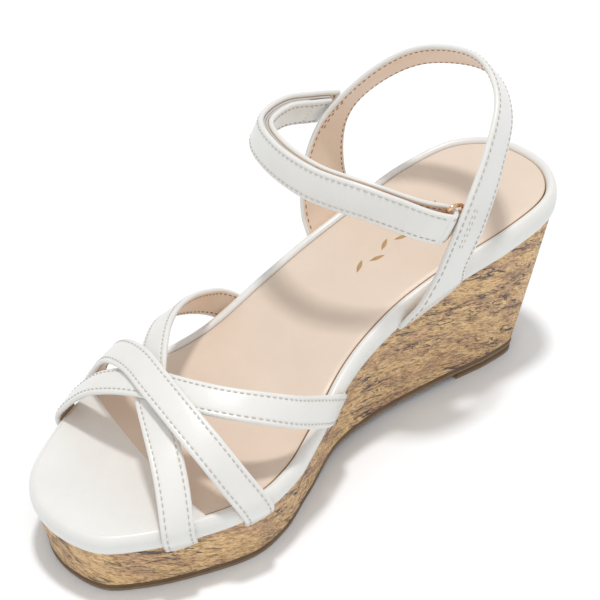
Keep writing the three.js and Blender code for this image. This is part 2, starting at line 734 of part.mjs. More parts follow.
addPart('outsole', outsole(), COLOURS.rubber, 0.7);
addPart('heel_lift', heelLift(), COLOURS.rubber, 0.7);
addPart('wedge_core', wedgeCore(), COLOURS.foam, 0.9);
addPart('cork_wrap', corkWrap(), COLOURS.cork, 0.8);
addPart('shank', shank(), COLOURS.steel, 0.4, 0.9);
addPart('insole_board', insoleBoard(), COLOURS.board, 0.9);
addPart('shank_rivet_front', rivetPin(RIVET_Y[0], RIVET_RADIUS, RIVET_SET_IN),
  COLOURS.steel, 0.4, 0.9);
addPart('shank_rivet_rear', rivetPin(RIVET_Y[1], RIVET_RADIUS, RIVET_SET_IN),
  COLOURS.steel, 0.4, 0.9);
addPart('latex_pad', bedLayer(latexBottom, latexTop), COLOURS.latex, 0.9);
addPart('sock', bedLayer(sockBottom, sockTop), COLOURS.sock, 0.6);
addPart('rim_binding', rimBinding(), COLOURS.cover, 0.45);
addPart('foil_ornament', foilOrnament(), COLOURS.foil, 0.3, 0.8);

for (const [name, dims] of Object.entries(VAMP_STRAPS)) {
  const frames = vampFrames(dims);
  const width = () => VAMP_STRAP_WIDTH;
  addPart(`vamp_strap_${name}_cover`, strap(frames, width, COVER_INNER, COVER_OUTER),
    COLOURS.cover, 0.45);
  addPart(`vamp_strap_${name}_lining`, strap(frames, width, LINING_INNER, LINING_OUTER),
    COLOURS.lining, 0.6);
}

const heelFrames = heelStrapFrames();
addPart('heel_strap_cover', strap(heelFrames, heelStrapWidth, COVER_INNER, COVER_OUTER),
  COLOURS.cover, 0.45);
addPart('heel_strap_lining', strap(heelFrames, heelStrapWidth, LINING_INNER, LINING_OUTER),
  COLOURS.lining, 0.6);

const ankleWidth = () => ANKLE_STRAP_WIDTH;
const tapeWidth = () => TAPE_WIDTH;
const run = runFrames();
addPart('ankle_strap_cover', strap(run, ankleWidth, COVER_INNER, COVER_OUTER),
  COLOURS.cover, 0.45);
addPart('ankle_strap_lining', strap(run, ankleWidth, LINING_INNER, LINING_OUTER),
  COLOURS.lining, 0.6);
addPart('flap_cover', strap(flapFrames, ankleWidth, COVER_INNER, COVER_OUTER),
  COLOURS.cover, 0.45);
addPart('flap_lining', strap(flapFrames, ankleWidth, LINING_INNER, LINING_OUTER),
  COLOURS.lining, 0.6);

// Both tapes are sewn on the lining side, so they face each other when the flap is closed.
const tapeOuter = LINING_INNER - CLOSURE_GAP;
const tapeInner = tapeOuter - TAPE_THICKNESS;
addPart('loop_tape', strap(partOf(runLine, LOOP_PART), tapeWidth, tapeInner, tapeOuter),
  COLOURS.tape, 0.95);
addPart('hook_tape', strap(partOf(flapFrames, HOOK_PART), tapeWidth, tapeInner, tapeOuter),
  COLOURS.tape, 0.95);

addPart('strap_ring', ring().applyMatrix4(ringPlace()), COLOURS.gold, 0.2, 1);
addPart('ring_tab', ringTab().applyMatrix4(ringPlace()), COLOURS.cover, 0.45);

export default sandal;
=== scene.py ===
"""Child's wedge sandal, right foot: the visible surfaces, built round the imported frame.

Lengths in this file are millimetres in the frame's own axes: +Z up, toe towards -Y, inner
(medial) side towards +X, origin on the floor under the heel. Meshes are scaled to metres.
"""

import math

import bmesh
import bpy
import numpy as np
from mathutils import Matrix, Vector


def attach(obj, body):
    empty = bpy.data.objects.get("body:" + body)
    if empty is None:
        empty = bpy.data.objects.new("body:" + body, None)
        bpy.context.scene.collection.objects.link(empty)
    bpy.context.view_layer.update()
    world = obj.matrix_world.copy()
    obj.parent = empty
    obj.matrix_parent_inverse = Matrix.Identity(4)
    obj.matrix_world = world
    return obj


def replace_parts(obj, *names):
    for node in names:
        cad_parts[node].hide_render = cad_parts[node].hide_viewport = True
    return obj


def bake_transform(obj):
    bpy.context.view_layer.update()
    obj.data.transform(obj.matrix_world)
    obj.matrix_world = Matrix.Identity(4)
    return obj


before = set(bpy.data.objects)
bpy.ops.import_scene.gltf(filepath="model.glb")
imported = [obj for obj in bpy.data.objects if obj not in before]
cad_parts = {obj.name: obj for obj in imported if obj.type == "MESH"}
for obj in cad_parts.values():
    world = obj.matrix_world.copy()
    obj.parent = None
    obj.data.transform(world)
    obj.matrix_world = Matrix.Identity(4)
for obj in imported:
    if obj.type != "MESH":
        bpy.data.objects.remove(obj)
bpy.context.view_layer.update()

MM = 0.001

# ---------------------------------------------------------------- driving dimensions
#
# The camera, the outline, the heights and the strap lines were found by least-squares fits to
# edges seen in the photo, then rounded.

TOE_TIP = (8.5, -171.5)
HEEL_TIP = (0, 29.3)
MEDIAL_EDGE = [
    (22.9, -168), (30.5, -159), (37.6, -144.5), (43.7, -122), (40.5, -106), (32.5, -90),
    (24, -71), (21.8, -52), (24, -28), (27.2, -3), (25, 17.5), (14.5, 27),
]
LATERAL_EDGE = [
    (-5.5, -169.3), (-15.5, -163), (-25.5, -148.5), (-33.5, -130), (-35.7, -113), (-33.6, -90),
    (-30, -61), (-27, -31), (-27.2, -2), (-23, 16.5), (-13, 26.3),
]
BED_HEIGHT = [
    (-172, 22.5), (-140, 23.3), (-112, 25), (-93, 25.6), (-80, 28.4), (-60, 37.9),
    (-40, 46.2), (-15, 52.9), (10, 57.5), (30, 61.3),
]
HALF_STEPS = 180                  # points along each side of the outline
OUTLINE_SMOOTHING = 1.6           # mm
SOLE_GAP = 0.2
OUTSOLE_THICKNESS = 2.4
WAIST_LIFT = 2.4
HEEL_BREAST = -19
CORK_THICKNESS = 0.8
HEEL_RAKE = 7.8                   # how far the back of the wedge slopes forward
RAKE_START = -20
CORK_TOP_INSET = 1.2
GRAIN_FALL = 0.28                 # how steeply the cork's grain falls towards the heel
RIM_WIDTH = 3.8
RIM_CREST = 0.5
SOCK_FRONT_LATERAL = -126.5       # y where the toe cover ends, on each side
SOCK_FRONT_MEDIAL = -139.5
SOCK_FRONT_BOW = -2.2

SOCK_PRESSURE = 4
SOCK_SWELL = 1.1

STRAP_COVER = 0.95
STRAP_LINING = 0.65
STRAP_GLUE = 0.1
STRAP_STACK = STRAP_COVER + STRAP_LINING + STRAP_GLUE
VAMP_STRAP_WIDTH = 10
VAMP_CLEARANCE = 2.4
VAMP_BASE = -4
VAMP_RISE = 31.4
VAMP_RISE_Y = -119
VAMP_RISE_SLOPE = 0.39
VAMP_HOLLOW = 5.5                 # how far the arch's lateral side is pressed in
HOLLOW_PEAK = 2.6                 # 1 / the largest value of sin^2 * cos
VAMP_STRAPS = {
    "a": {"lateral": -69.9, "medial": -148.6, "bow": -21.9, "swing": -8.2, "layer": 0},
    "b": {"lateral": -137, "medial": -77.4, "bow": -22.2, "swing": 9.7, "layer": 1},
    "c": {"lateral": -122.3, "medial": -124.2, "bow": -5.5, "swing": 3.4, "layer": 2},
}
CROSSING_STEP = STRAP_STACK + 0.35
CROSSING_FLAT = 0.2
CROSSING_FADE = 0.18

VAMP_MIDDLE = (4, -125, 18.0)
VAMP_TUCK = (10, 2.2)             # height over which the ends turn in, and how deep they go
END_REACHES = (0.9, 1.8, 2.7)     # how far the strap's line goes on past each end

HEEL_STRAP_WIDTH = 12.5
HEEL_STRAP_MIDDLE = (-2, -35, 60.0)
HEEL_STRAP_TUCK = (7, 1.4)
HEEL_STRAP_FLARE = 9.3
LATERAL_FLARE_PART = 0.2
MEDIAL_FLARE_PART = 0.1
ROOT_PART = 0.12                  # part of the length over which the strap turns along the seam
HEEL_STRAP_LINE = [
    (-29.3, -29, 42.3), (-34.9, -27.4, 58.4), (-37.6, -19.7, 75.2), (-31.6, -9.5, 88),
    (-20.2, 1.3, 97.2), (1.9, 6.7, 101.7), (19.9, -1.5, 97.8), (29.2, -14.8, 87.7),
    (32.3, -26, 73.3), (29.8, -32.8, 56.3), (26, -37, 40.5),
]
HEEL_STRAP_LEAN = [
    (0, -0.27), (0.2, -0.1), (0.3, 0.31), (0.4, 0.77), (0.5, 0.88), (0.7, 1), (0.8, 0.74),
    (0.9, 0.31), (1, -0.14),
]

ANKLE_STRAP_WIDTH = 11.2
ANKLE_LINE = [
    (-40.3, -16.3, 76.2), (-40.8, -25.6, 79.1), (-40.9, -37, 82.2), (-35.9, -49.2, 83.6),
    (-22.8, -55.8, 84.3), (-3.7, -56.9, 83.5), (13.2, -50.7, 82), (22.6, -41.4, 76.9),
    (25.8, -34.4, 73.6),
]
ANKLE_TIP_SIDEWAYS = [(0, 0.5), (0.5, 0.44), (1, 0.34)]
ANKLE_TIP_BACK = [(0, -0.13), (0.5, 0.17), (0.75, 0.4), (1, 0.46)]
ANKLE_MIDDLE = (0, -22, 80)
RUN_START = 0.05
TAPE_THICKNESS = 0.6
TAPE_WIDTH = 9
CLOSURE_GAP = 0.15
HOOK_PART = (0.04, 0.5)
LOOP_PART = (0.12, 0.62)

FOLD_RADIUS = 2.6
FOLD_OPENING = 0.86
RING_BAR_SPACING = 6.6
RING_INNER_HEIGHT = 12.4
RING_WIRE = 0.65
RING_CORNER = 2.2
RING_HEADING = (-0.05, 0.9, -0.42)
TAB_RADIUS = 1.4
TAB_THICKNESS = 0.85
TAB_HEIGHT = 8.2

FOLD_WIDTH = 0.5                  # cover turned under along each edge
STITCH_INSET = 1.5                # stitch line from the folded edge
STITCH_PERIOD = 2.0
STITCH_LENGTH = 1.45
THREAD_RADIUS = 0.17
TACK_ROWS = (4.0, 5.2)            # tack stitches that hold the ring's tab, from the leg's front edge
RUN_END_ROWS = (3, 13)            # path steps of the stitch rows across the ends of the ankle strap
FLAP_END_ROWS = (3,)
RUN_SEAM_REACH = 8                # path steps either side of the sewn end of the run
TACK_REACH = 9                    # path steps either side of the tab

# ---------------------------------------------------------------- curves and tables


def smooth_step(low, high, value):
    t = np.clip((value - low) / (high - low), 0, 1)
    return t * t * (3 - 2 * t)


def smooth_table(rows):
    """Smooth function through (input, output) pairs."""
    x = np.array([r[0] for r in rows], float)
    y = np.array([r[1] for r in rows], float)
    slope = np.empty(len(x))
    slope[1:-1] = (y[2:] - y[:-2]) / (x[2:] - x[:-2])
    slope[0] = (y[1] - y[0]) / (x[1] - x[0])
    slope[-1] = (y[-1] - y[-2]) / (x[-1] - x[-2])

    def value(at):
        at = np.asarray(at, float)
        i = np.clip(np.searchsorted(x, at, side="right") - 1, 0, len(x) - 2)
        step = x[i + 1] - x[i]
        t = np.clip((at - x[i]) / step, 0, 1)
        t2, t3 = t * t, t * t * t
        return ((2 * t3 - 3 * t2 + 1) * y[i] + (t3 - 2 * t2 + t) * step * slope[i]
                + (3 * t2 - 2 * t3) * y[i + 1] + (t3 - t2) * step * slope[i + 1])
    return value


def catmull(points, closed=False, per_span=40):
    """Dense centripetal Catmull-Rom curve through points."""
    p = np.array(points, float)
    if closed:
        p = np.vstack([p[-1], p, p[0], p[1]])
    else:
        p = np.vstack([2 * p[0] - p[1], p, 2 * p[-1] - p[-2]])
    t = np.linspace(0, 1, per_span, endpoint=False)[:, None]
    spans = []
    for a, b, c, d in zip(p, p[1:], p[2:], p[3:]):
        ab, bc, cd = (max(np.linalg.norm(v), 1e-9) ** 0.5 for v in (b - a, c - b, d - c))
        start = ((b - a) / ab - (c - a) / (ab + bc) + (c - b) / bc) * bc
        end = ((c - b) / bc - (d - b) / (bc + cd) + (d - c) / cd) * bc
        spans.append((2 * t**3 - 3 * t**2 + 1) * b + (t**3 - 2 * t**2 + t) * start
                     + (3 * t**2 - 2 * t**3) * c + (t**3 - t**2) * end)
    return np.vstack([*spans, p[-2][None]])


def lengths_along(points):
    steps = np.linalg.norm(np.diff(points, axis=0), axis=1)
    return np.concatenate([[0], np.cumsum(steps)])


def at_lengths(points, where):
    s = lengths_along(points)
    return np.stack([np.interp(where, s, points[:, k]) for k in range(points.shape[1])], axis=1)


def evenly(points, count):
    """count + 1 points evenly spaced along a polyline."""
    return at_lengths(points, np.linspace(0, lengths_along(points)[-1], count + 1))


def unit(v):
    return v / np.maximum(np.linalg.norm(v, axis=-1, keepdims=True), 1e-12)


# ---------------------------------------------------------------- sole outline

bed_height = smooth_table(BED_HEIGHT)


def footbed_outline():
    """Points of the footbed edge from the toe tip by the medial side to the heel tip and back."""
    dense = catmull([TOE_TIP, *MEDIAL_EDGE, HEEL_TIP, *LATERAL_EDGE[::-1]], closed=True)[:-1]
    dense = np.roll(dense, -dense[:, 1].argmin(), axis=0)
    heel = dense[:, 1].argmax()
    medial = evenly(dense[:heel + 1], HALF_STEPS)
    lateral = evenly(np.vstack([dense[heel:], dense[:1]]), HALF_STEPS)
    loop = np.vstack([medial[:-1], lateral[:-1]])
    spread = np.arange(-6, 7)
    weight = np.exp(-(spread * 1.15 / OUTLINE_SMOOTHING) ** 2 / 2)
    weight /= weight.sum()
    return sum(w * np.roll(loop, k, axis=0) for w, k in zip(weight, spread))


OUTLINE = footbed_outline()
POINTS = len(OUTLINE)
_step = np.roll(OUTLINE, -1, axis=0) - np.roll(OUTLINE, 1, axis=0)
INWARD = unit(np.stack([-_step[:, 1], _step[:, 0]], axis=1))
OUTLINE_LENGTH = lengths_along(OUTLINE)


def edge_x(y, side):
    """x of the footbed edge at y, on the medial (+1) or lateral (-1) side."""
    half = OUTLINE[:HALF_STEPS + 1] if side > 0 else np.vstack([OUTLINE[HALF_STEPS:], OUTLINE[:1]])[::-1]
    return np.interp(y, half[:, 1], half[:, 0])


def rim_drop(y):
    return 5.4 + 1.8 * smooth_step(-100, 0, y)


def taper(y):
    return 4.2 + 4.2 * smooth_step(-90, 10, y)


def waist(y):
    return WAIST_LIFT * smooth_step(-90, -70, y)


def rake(y):
    """How far forward the back of the wedge has moved at floor level."""
    return HEEL_RAKE * smooth_step(RAKE_START, HEEL_TIP[1], y)


def seam_height(y):
    """Height of the line where the rim meets the cork."""
    return bed_height(y) - rim_drop(y)


def loop_points(inset, height, raked=0.0):
    """The outline moved in by inset, at height(y), as 3-D points."""
    depth = inset(OUTLINE[:, 1]) if callable(inset) else inset
    flat = OUTLINE + INWARD * np.reshape(depth, (-1, 1) if np.ndim(depth) else ())
    flat[:, 1] -= raked * rake(OUTLINE[:, 1])
    return np.column_stack([flat, height(flat[:, 1])])


def edge_at(side, k, inset):
    """Point of the outline at fractional index k from the toe tip, on one side, moved in."""
    index = np.asarray(k, float) if side > 0 else (POINTS - np.asarray(k, float)) % POINTS
    low = np.floor(index).astype(int) % POINTS
    high = (low + 1) % POINTS
    t = (index - np.floor(index))[..., None]
    point = OUTLINE[low] * (1 - t) + OUTLINE[high] * t
    return point + unit(INWARD[low] * (1 - t) + INWARD[high] * t) * inset


def index_at(side, y):
    """Fractional index from the toe tip where one side of the outline crosses y."""
    k = np.arange(HALF_STEPS + 1)
    ys = edge_at(side, k, 0)[:, 1]
    return float(np.interp(y, ys, k))


def outline_distance(flat):
    """Distance of plan points from the outline, positive inside."""
    distance = np.empty(len(flat))
    for i, point in enumerate(flat):
        gap = OUTLINE - point
        nearest = (gap ** 2).sum(axis=1).argmin()
        distance[i] = (point - OUTLINE[nearest]) @ INWARD[nearest]
    return distance


# ---------------------------------------------------------------- meshes


def new_piece(name, points, faces, material, attributes=None):
    """A smooth-shaded mesh object from millimetre points."""
    mesh = bpy.data.meshes.new(name)
    mesh.from_pydata((np.asarray(points) * MM).tolist(), [], [tuple(f) for f in faces])
    for key, values in (attributes or {}).items():
        values = np.asarray(values, np.float32)
        kind = "FLOAT_VECTOR" if values.ndim == 2 else "FLOAT"
        layer = mesh.attributes.new(key, kind, "POINT")
        layer.data.foreach_set("vector" if values.ndim == 2 else "value", values.ravel())
    bm = bmesh.new()
    bm.from_mesh(mesh)
    bmesh.ops.remove_doubles(bm, verts=bm.verts, dist=1e-7)
    bmesh.ops.recalc_face_normals(bm, faces=bm.faces)
    bm.to_mesh(mesh)
    bm.free()
    mesh.polygons.foreach_set("use_smooth", [True] * len(mesh.polygons))
    mesh.materials.append(material)
    piece = bpy.data.objects.new(name, mesh)
    bpy.context.scene.collection.objects.link(piece)
    return piece


def sharpen(piece, degrees=40):
    """Splits the shading along edges sharper than the given angle."""
    bpy.context.view_layer.objects.active = piece
    piece.select_set(True)
    bpy.ops.object.shade_smooth_by_angle(angle=math.radians(degrees))
    piece.select_set(False)
    return piece


def grid_faces(rows, columns, wrap_rows=False, wrap_columns=False):
    faces = []
    for i in range(rows if wrap_rows else rows - 1):
        for k in range(columns if wrap_columns else columns - 1):
            i2, k2 = (i + 1) % rows, (k + 1) % columns
            faces.append((i * columns + k, i * columns + k2, i2 * columns + k2, i2 * columns + k))
    return faces


def lofted(name, rings, material, attributes=None, caps=True):
    """Skin over a stack of equal rings of points, capped at both ends."""
    count, size = len(rings), len(rings[0])
    faces = grid_faces(count, size, wrap_columns=True)
    if caps:
        faces.append(tuple(range(size))[::-1])
        faces.append(tuple(range((count - 1) * size, count * size)))
    return new_piece(name, np.vstack(rings), faces, material, attributes)


def on_body(piece, body, node):
    """Puts a piece on its body, in place of its CAD node, which is hidden."""
    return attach(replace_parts(piece, node), body)


def merged(parts):
    """One list of points and faces from several."""
    points, faces, base = [], [], 0
    for some_points, some_faces in parts:
        points.append(some_points)
        faces.extend(tuple(i + base for i in face) for face in some_faces)
        base += len(some_points)
    return np.vstack(points), faces


# ---------------------------------------------------------------- node materials


class Surface:
    """A Principled material with short calls for the texture nodes it needs."""

    def __init__(self, name, roughness, **inputs):
        self.material = bpy.data.materials.new(name)
        self.material.use_nodes = True
        self.tree = self.material.node_tree
        self.shader = self.tree.nodes["Principled BSDF"]
        self.shader.inputs["Roughness"].default_value = roughness
        for key, value in inputs.items():
            self.shader.inputs[key.replace("_", " ")].default_value = value
        self.normal = None

    def node(self, kind, **settings):
        made = self.tree.nodes.new(kind)
        for key, value in settings.items():
            setattr(made, key, value)
        return made

    def link(self, source, target):
        self.tree.links.new(source, target)

    def place(self, scale, attribute=None):
        """Texture place: object coordinates, or a vector attribute of the mesh, scaled."""
        if attribute:
            source = self.node("ShaderNodeAttribute", attribute_name=attribute).outputs["Vector"]
        else:
            source = self.node("ShaderNodeTexCoord").outputs["Object"]
        mapping = self.node("ShaderNodeMapping")
        mapping.inputs["Scale"].default_value = scale if np.ndim(scale) else (scale,) * 3
        self.link(source, mapping.inputs["Vector"])
        return mapping.outputs["Vector"]

    def noise(self, place, scale=1.0, detail=3.0, roughness=0.5, distortion=0.0):
        made = self.node("ShaderNodeTexNoise")
        for key, value in (("Scale", scale), ("Detail", detail), ("Roughness", roughness),
                           ("Distortion", distortion)):
            made.inputs[key].default_value = value
        self.link(place, made.inputs["Vector"])
        return made.outputs["Fac"]

    def cells(self, place, scale=1.0, feature="F1"):
        made = self.node("ShaderNodeTexVoronoi", feature=feature)
        made.inputs["Scale"].default_value = scale
        self.link(place, made.inputs["Vector"])
        return made.outputs["Distance"]

    def rows(self, place, direction, period):
        """Even ridges with the given period, counted along one direction."""
        made = self.node("ShaderNodeTexWave", bands_direction=direction)
        made.inputs["Scale"].default_value = 2 * math.pi / 20 / period
        made.inputs["Distortion"].default_value = 0.5
        self.link(place, made.inputs["Vector"])
        return made.outputs["Fac"]

    def attribute(self, name):
        return self.node("ShaderNodeAttribute", attribute_name=name).outputs["Fac"]

    def math(self, operation, first, second):
        made = self.node("ShaderNodeMath", operation=operation)
        for socket, value in zip(made.inputs, (first, second)):
            if isinstance(value, (int, float)):
                socket.default_value = value
            else:
                self.link(value, socket)
        return made.outputs[0]

    def ramp(self, factor, *stops):
        """Colour ramp; each stop is (position, grey value or colour)."""
        made = self.node("ShaderNodeValToRGB")
        elements = made.color_ramp.elements
        while len(elements) < len(stops):
            elements.new(0.5)
        for element, (position, value) in zip(elements, stops):
            element.position = position
            colour = value if np.ndim(value) else (value,) * 3
            element.color = (*colour, 1)
        self.link(factor, made.inputs["Fac"])
        return made.outputs["Color"]

    def mix(self, factor, first, second, blend="MIX"):
        made = self.node("ShaderNodeMix", data_type="RGBA", blend_type=blend)
        for socket, value in ((made.inputs[0], factor), (made.inputs[6], first), (made.inputs[7], second)):
            if isinstance(value, (int, float)):
                socket.default_value = value
            elif isinstance(value, tuple):
                socket.default_value = (*value, 1)
            else:
                self.link(value, socket)
        return made.outputs[2]

    def bump(self, height, depth_mm, strength=1.0):
        made = self.node("ShaderNodeBump")
        made.inputs["Strength"].default_value = strength
        made.inputs["Distance"].default_value = depth_mm * MM
        self.link(height, made.inputs["Height"])
        if self.normal:
            self.link(self.normal, made.inputs["Normal"])
        self.normal = made.outputs["Normal"]
        self.link(self.normal, self.shader.inputs["Normal"])

    def colour(self, socket):
        self.link(socket, self.shader.inputs["Base Color"])

    def rough(self, socket):
        self.link(socket, self.shader.inputs["Roughness"])


def coated_leather(name, light, dark, roughness, grain=0.05, tan_edge=None):
    """Coated leather: fine pebbled grain, soft mottling, a little sheen."""
    s = Surface(name, roughness, Coat_Weight=0.12, Coat_Roughness=0.25, Specular_IOR_Level=0.45)
    metres = s.place(1)
    mottle = s.noise(metres, 55, 4, 0.6)
    colour = s.mix(s.ramp(mottle, (0.3, 0.0), (0.72, 1.0)), dark, light)
    if tan_edge:
        line = s.ramp(s.attribute("edge"), (0.0, 1.0), (0.18, 1.0), (0.32, 0.0))
        colour = s.mix(line, colour, tan_edge)
    s.colour(colour)
    pebble = s.cells(metres, 2300, "SMOOTH_F1")
    fine = s.noise(metres, 1500, 5, 0.6)
    s.rough(s.ramp(s.noise(metres, 140, 3), (0.3, roughness - 0.05), (0.7, roughness + 0.06)))
    s.bump(s.noise(metres, 90, 3, 0.5), 0.12, 0.5)
    s.bump(s.math("ADD", s.math("MULTIPLY", pebble, 0.6), s.math("MULTIPLY", fine, 0.7)), grain, 0.8)
    return s.material


def cork():
    """Cork sheet: golden and brown patches, fine streaks and ragged slate flecks along the sheet."""
    s = Surface("cork", 0.6, Specular_IOR_Level=0.35)

    def layer(scale, detail, roughness=0.5, distortion=0.0):
        return s.noise(s.place(scale, "wrap"), 1.0, detail, roughness, distortion)

    grain = layer((0.45, 1.5, 1), 7, 0.72, 0.6)
    gold = s.ramp(grain, (0.38, (0.40, 0.23, 0.115)), (0.46, (0.64, 0.41, 0.19)),
                  (0.54, (0.76, 0.52, 0.27)), (0.68, (0.87, 0.65, 0.38)))
    brown = s.ramp(grain, (0.38, (0.25, 0.135, 0.075)), (0.5, (0.48, 0.29, 0.17)),
                   (0.64, (0.66, 0.44, 0.27)))
    patch = layer((0.05, 0.14, 2), 6, 0.72, 0.5)
    base = s.mix(s.ramp(patch, (0.47, 0.0), (0.56, 0.85)), gold, brown)
    vein = s.ramp(layer((0.22, 1.1, 4), 7, 0.7, 1.1), (0.54, 0.0), (0.59, 0.65))
    base = s.mix(vein, base, (0.22, 0.115, 0.06))
    streak = s.ramp(layer((0.1, 0.5, 7), 8, 0.72, 0.9), (0.555, 0.0), (0.58, 1.0))
    chip = s.ramp(layer((0.22, 0.8, 11), 7, 0.7, 1.0), (0.575, 0.0), (0.6, 1.0))
    where = s.ramp(layer((0.04, 0.12, 2), 2), (0.42, 0.12), (0.54, 1.0))
    dark = s.math("MULTIPLY", s.math("MAXIMUM", streak, chip), where)
    slate = s.mix(s.ramp(grain, (0.42, 0.0), (0.62, 1.0)), (0.045, 0.038, 0.044), (0.15, 0.125, 0.13))
    s.colour(s.mix(s.math("MULTIPLY", dark, 0.97), base, slate))
    s.bump(s.math("SUBTRACT", grain, dark), 0.2, 0.7)
    s.bump(s.noise(s.place(1), 1800, 4), 0.05, 0.5)
    return s.material


def rubber():
    """Brown outsole rubber: a darker upper edge, dust in the fine texture."""
    s = Surface("brown_rubber", 0.55, Specular_IOR_Level=0.4)
    metres = s.place(1)
    mottle = s.noise(metres, 160, 4, 0.6)
    dark = s.ramp(mottle, (0.3, (0.115, 0.07, 0.036)), (0.7, (0.16, 0.10, 0.055)))
    pale = s.ramp(mottle, (0.3, (0.23, 0.15, 0.085)), (0.7, (0.29, 0.20, 0.12)))
    s.colour(s.mix(s.ramp(s.attribute("edge"), (0.42, 0.0), (0.5, 1.0)), pale, dark))
    s.bump(s.noise(metres, 2600, 4, 0.6), 0.05, 0.7)
    return s.material


def thread(name, light, dark):
    s = Surface(name, 0.7, Sheen_Weight=0.3)
    fibre = s.noise(s.place(1), 3500, 3)
    s.colour(s.ramp(fibre, (0.3, dark), (0.7, light)))
    s.bump(fibre, 0.04, 0.8)
    return s.material


def metal(name, base, roughness, scratches=0.03):
    s = Surface(name, roughness, Metallic=1.0)
    fine = s.noise(s.place((900, 900, 90)), 1.0, 4)
    s.colour(s.ramp(fine, (0.3, tuple(0.93 * c for c in base)), (0.7, base)))
    s.rough(s.ramp(fine, (0.3, roughness), (0.7, roughness + scratches * 3)))
    s.bump(fine, 0.01, 0.4)
    return s.material


def woven_tape():
    """Ribbed hook-and-loop tape: rows of fine loops along the strip."""
    s = Surface("closure_tape", 0.85, Sheen_Weight=0.5)
    place = s.place(1, "weave")
    rib = s.math("MULTIPLY", s.rows(place, "Y", 1.15), s.rows(place, "X", 0.8))
    fuzz = s.noise(s.place(1), 4200, 4, 0.7)
    s.colour(s.ramp(s.math("MULTIPLY", rib, fuzz), (0.04, (0.52, 0.51, 0.49)), (0.3, (0.8, 0.8, 0.78))))
    s.bump(rib, 0.35, 1.0)
    s.bump(fuzz, 0.12, 1.0)
    return s.material


def plain(name, light, dark, roughness, scale=300, metallic=0.0):
    """Mottled finish for pieces that stay hidden inside the shoe."""
    s = Surface(name, roughness, Metallic=metallic)
    grain = s.noise(s.place(1), scale, 5, 0.6)
    s.colour(s.ramp(grain, (0.3, dark), (0.7, light)))
    s.bump(grain, 0.1, 0.6)
    return s.material


WHITE = coated_leather("white_upper", (0.78, 0.77, 0.74), (0.735, 0.725, 0.695), 0.34)
SOCK = coated_leather("sock_lining", (0.725, 0.60, 0.495), (0.69, 0.565, 0.46), 0.46, 0.035,
                      tan_edge=(0.42, 0.25, 0.13))
LINING = coated_leather("strap_lining", (0.79, 0.62, 0.48), (0.73, 0.555, 0.42), 0.48, 0.06)
CORK = cork()
RUBBER = rubber()
PALE_THREAD = thread("pale_thread", (0.60, 0.57, 0.50), (0.47, 0.43, 0.37))
BROWN_THREAD = thread("brown_thread", (0.30, 0.17, 0.09), (0.21, 0.11, 0.055))
ROSE_GOLD = metal("rose_gold", (0.86, 0.56, 0.36), 0.14)
GOLD_FOIL = metal("gold_foil", (0.62, 0.42, 0.2), 0.34)
TAPE = woven_tape()

# ---------------------------------------------------------------- sole


def ring_of(profile):
    """Closed band round the sole from rows of (inset, height function, optional rake)."""
    columns = [loop_points(*row) for row in profile]
    points = np.stack(columns, axis=1).reshape(-1, 3)
    return points, grid_faces(POINTS, len(profile), True, True)


def build_cork():
    rows = 12
    bottom = lambda y: waist(y) + OUTSOLE_THICKNESS + SOLE_GAP
    top = lambda y: seam_height(y) - SOLE_GAP

    def wall(part, depth):
        inset = lambda y: taper(y) * (1 - part) + CORK_TOP_INSET * part + depth
        height = lambda y: bottom(y) * (1 - part) + top(y) * part
        return inset, height, 1 - part

    outer = [wall(part, 0) for part in np.linspace(0, 1, rows)]
    profile = [*outer, wall(1, CORK_THICKNESS), wall(0, CORK_THICKNESS)]
    points, faces = ring_of(profile)
    along = np.repeat(OUTLINE_LENGTH, len(profile))
    wrap = np.column_stack([along, points[:, 2] + GRAIN_FALL * along, np.zeros(len(points))])
    piece = new_piece("cork_sheet", points, faces, CORK, {"wrap": wrap})
    on_body(sharpen(piece), "sole", "cork_wrap")


def sole_rows(first, last, rows, columns, inset, front_bow=0.0):
    """Plan points in rows across the sole, from outline indices first to last (both sides)."""
    t = np.linspace(0, 1, columns)
    t = t - 0.11 * np.sin(2 * np.pi * t)
    made = []
    for part in np.linspace(0, 1, rows):
        medial = edge_at(1, first[1] + (last[1] - first[1]) * part, inset)
        lateral = edge_at(-1, first[0] + (last[0] - first[0]) * part, inset)
        row = lateral + (medial - lateral) * t[:, None]
        bow = front_bow(part) if callable(front_bow) else front_bow
        row[:, 1] += bow * 4 * t * (1 - t)
        made.append(row)
    return np.array(made)


def sole_slab(name, low, high, side, material, bottom_relief=None, y_from=None):
    """Solid sole layer; side is a list of (extra inset, part of height) from bottom to top."""
    first = (0, 0) if y_from is None else (index_at(-1, y_from), index_at(1, y_from))
    rows, columns = 150, 61
    end = HALF_STEPS
    rings = []
    heights = []
    for part in np.linspace(0, 1, rows):
        k_medial = first[1] + (end - first[1]) * part
        k_lateral = first[0] + (end - first[0]) * part
        ring = []
        level = []
        for k, s, profile in ((k_medial, 1, side), (k_lateral, -1, side[::-1])):
            flat_edge = edge_at(s, k, 0)
            column = []
            for extra, up in profile:
                flat = edge_at(s, k, taper(flat_edge[1]) + extra)
                flat[1] -= rake(flat_edge[1])
                z = low(flat[1]) * (1 - up) + high(flat[1]) * up
                column.append([*flat, z])
                level.append(up)
            ring.append(np.array(column))
        medial, lateral = ring
        t = np.linspace(0, 1, columns)[1:-1, None]
        top = medial[-1] * (1 - t) + lateral[0] * t
        under = lateral[-1] * (1 - t) + medial[0] * t
        top[:, 2] = high(top[:, 1])
        under[:, 2] = low(under[:, 1])
        if bottom_relief is not None:
            under[:, 2] += bottom_relief(under)
        rings.append(np.vstack([medial, top, lateral, under]))
        count = len(side)
        heights.append(np.concatenate([level[:count], np.ones(columns - 2), level[count:],
                                       np.zeros(columns - 2)]))
    return lofted(name, rings, material, {"edge": np.concatenate(heights)})


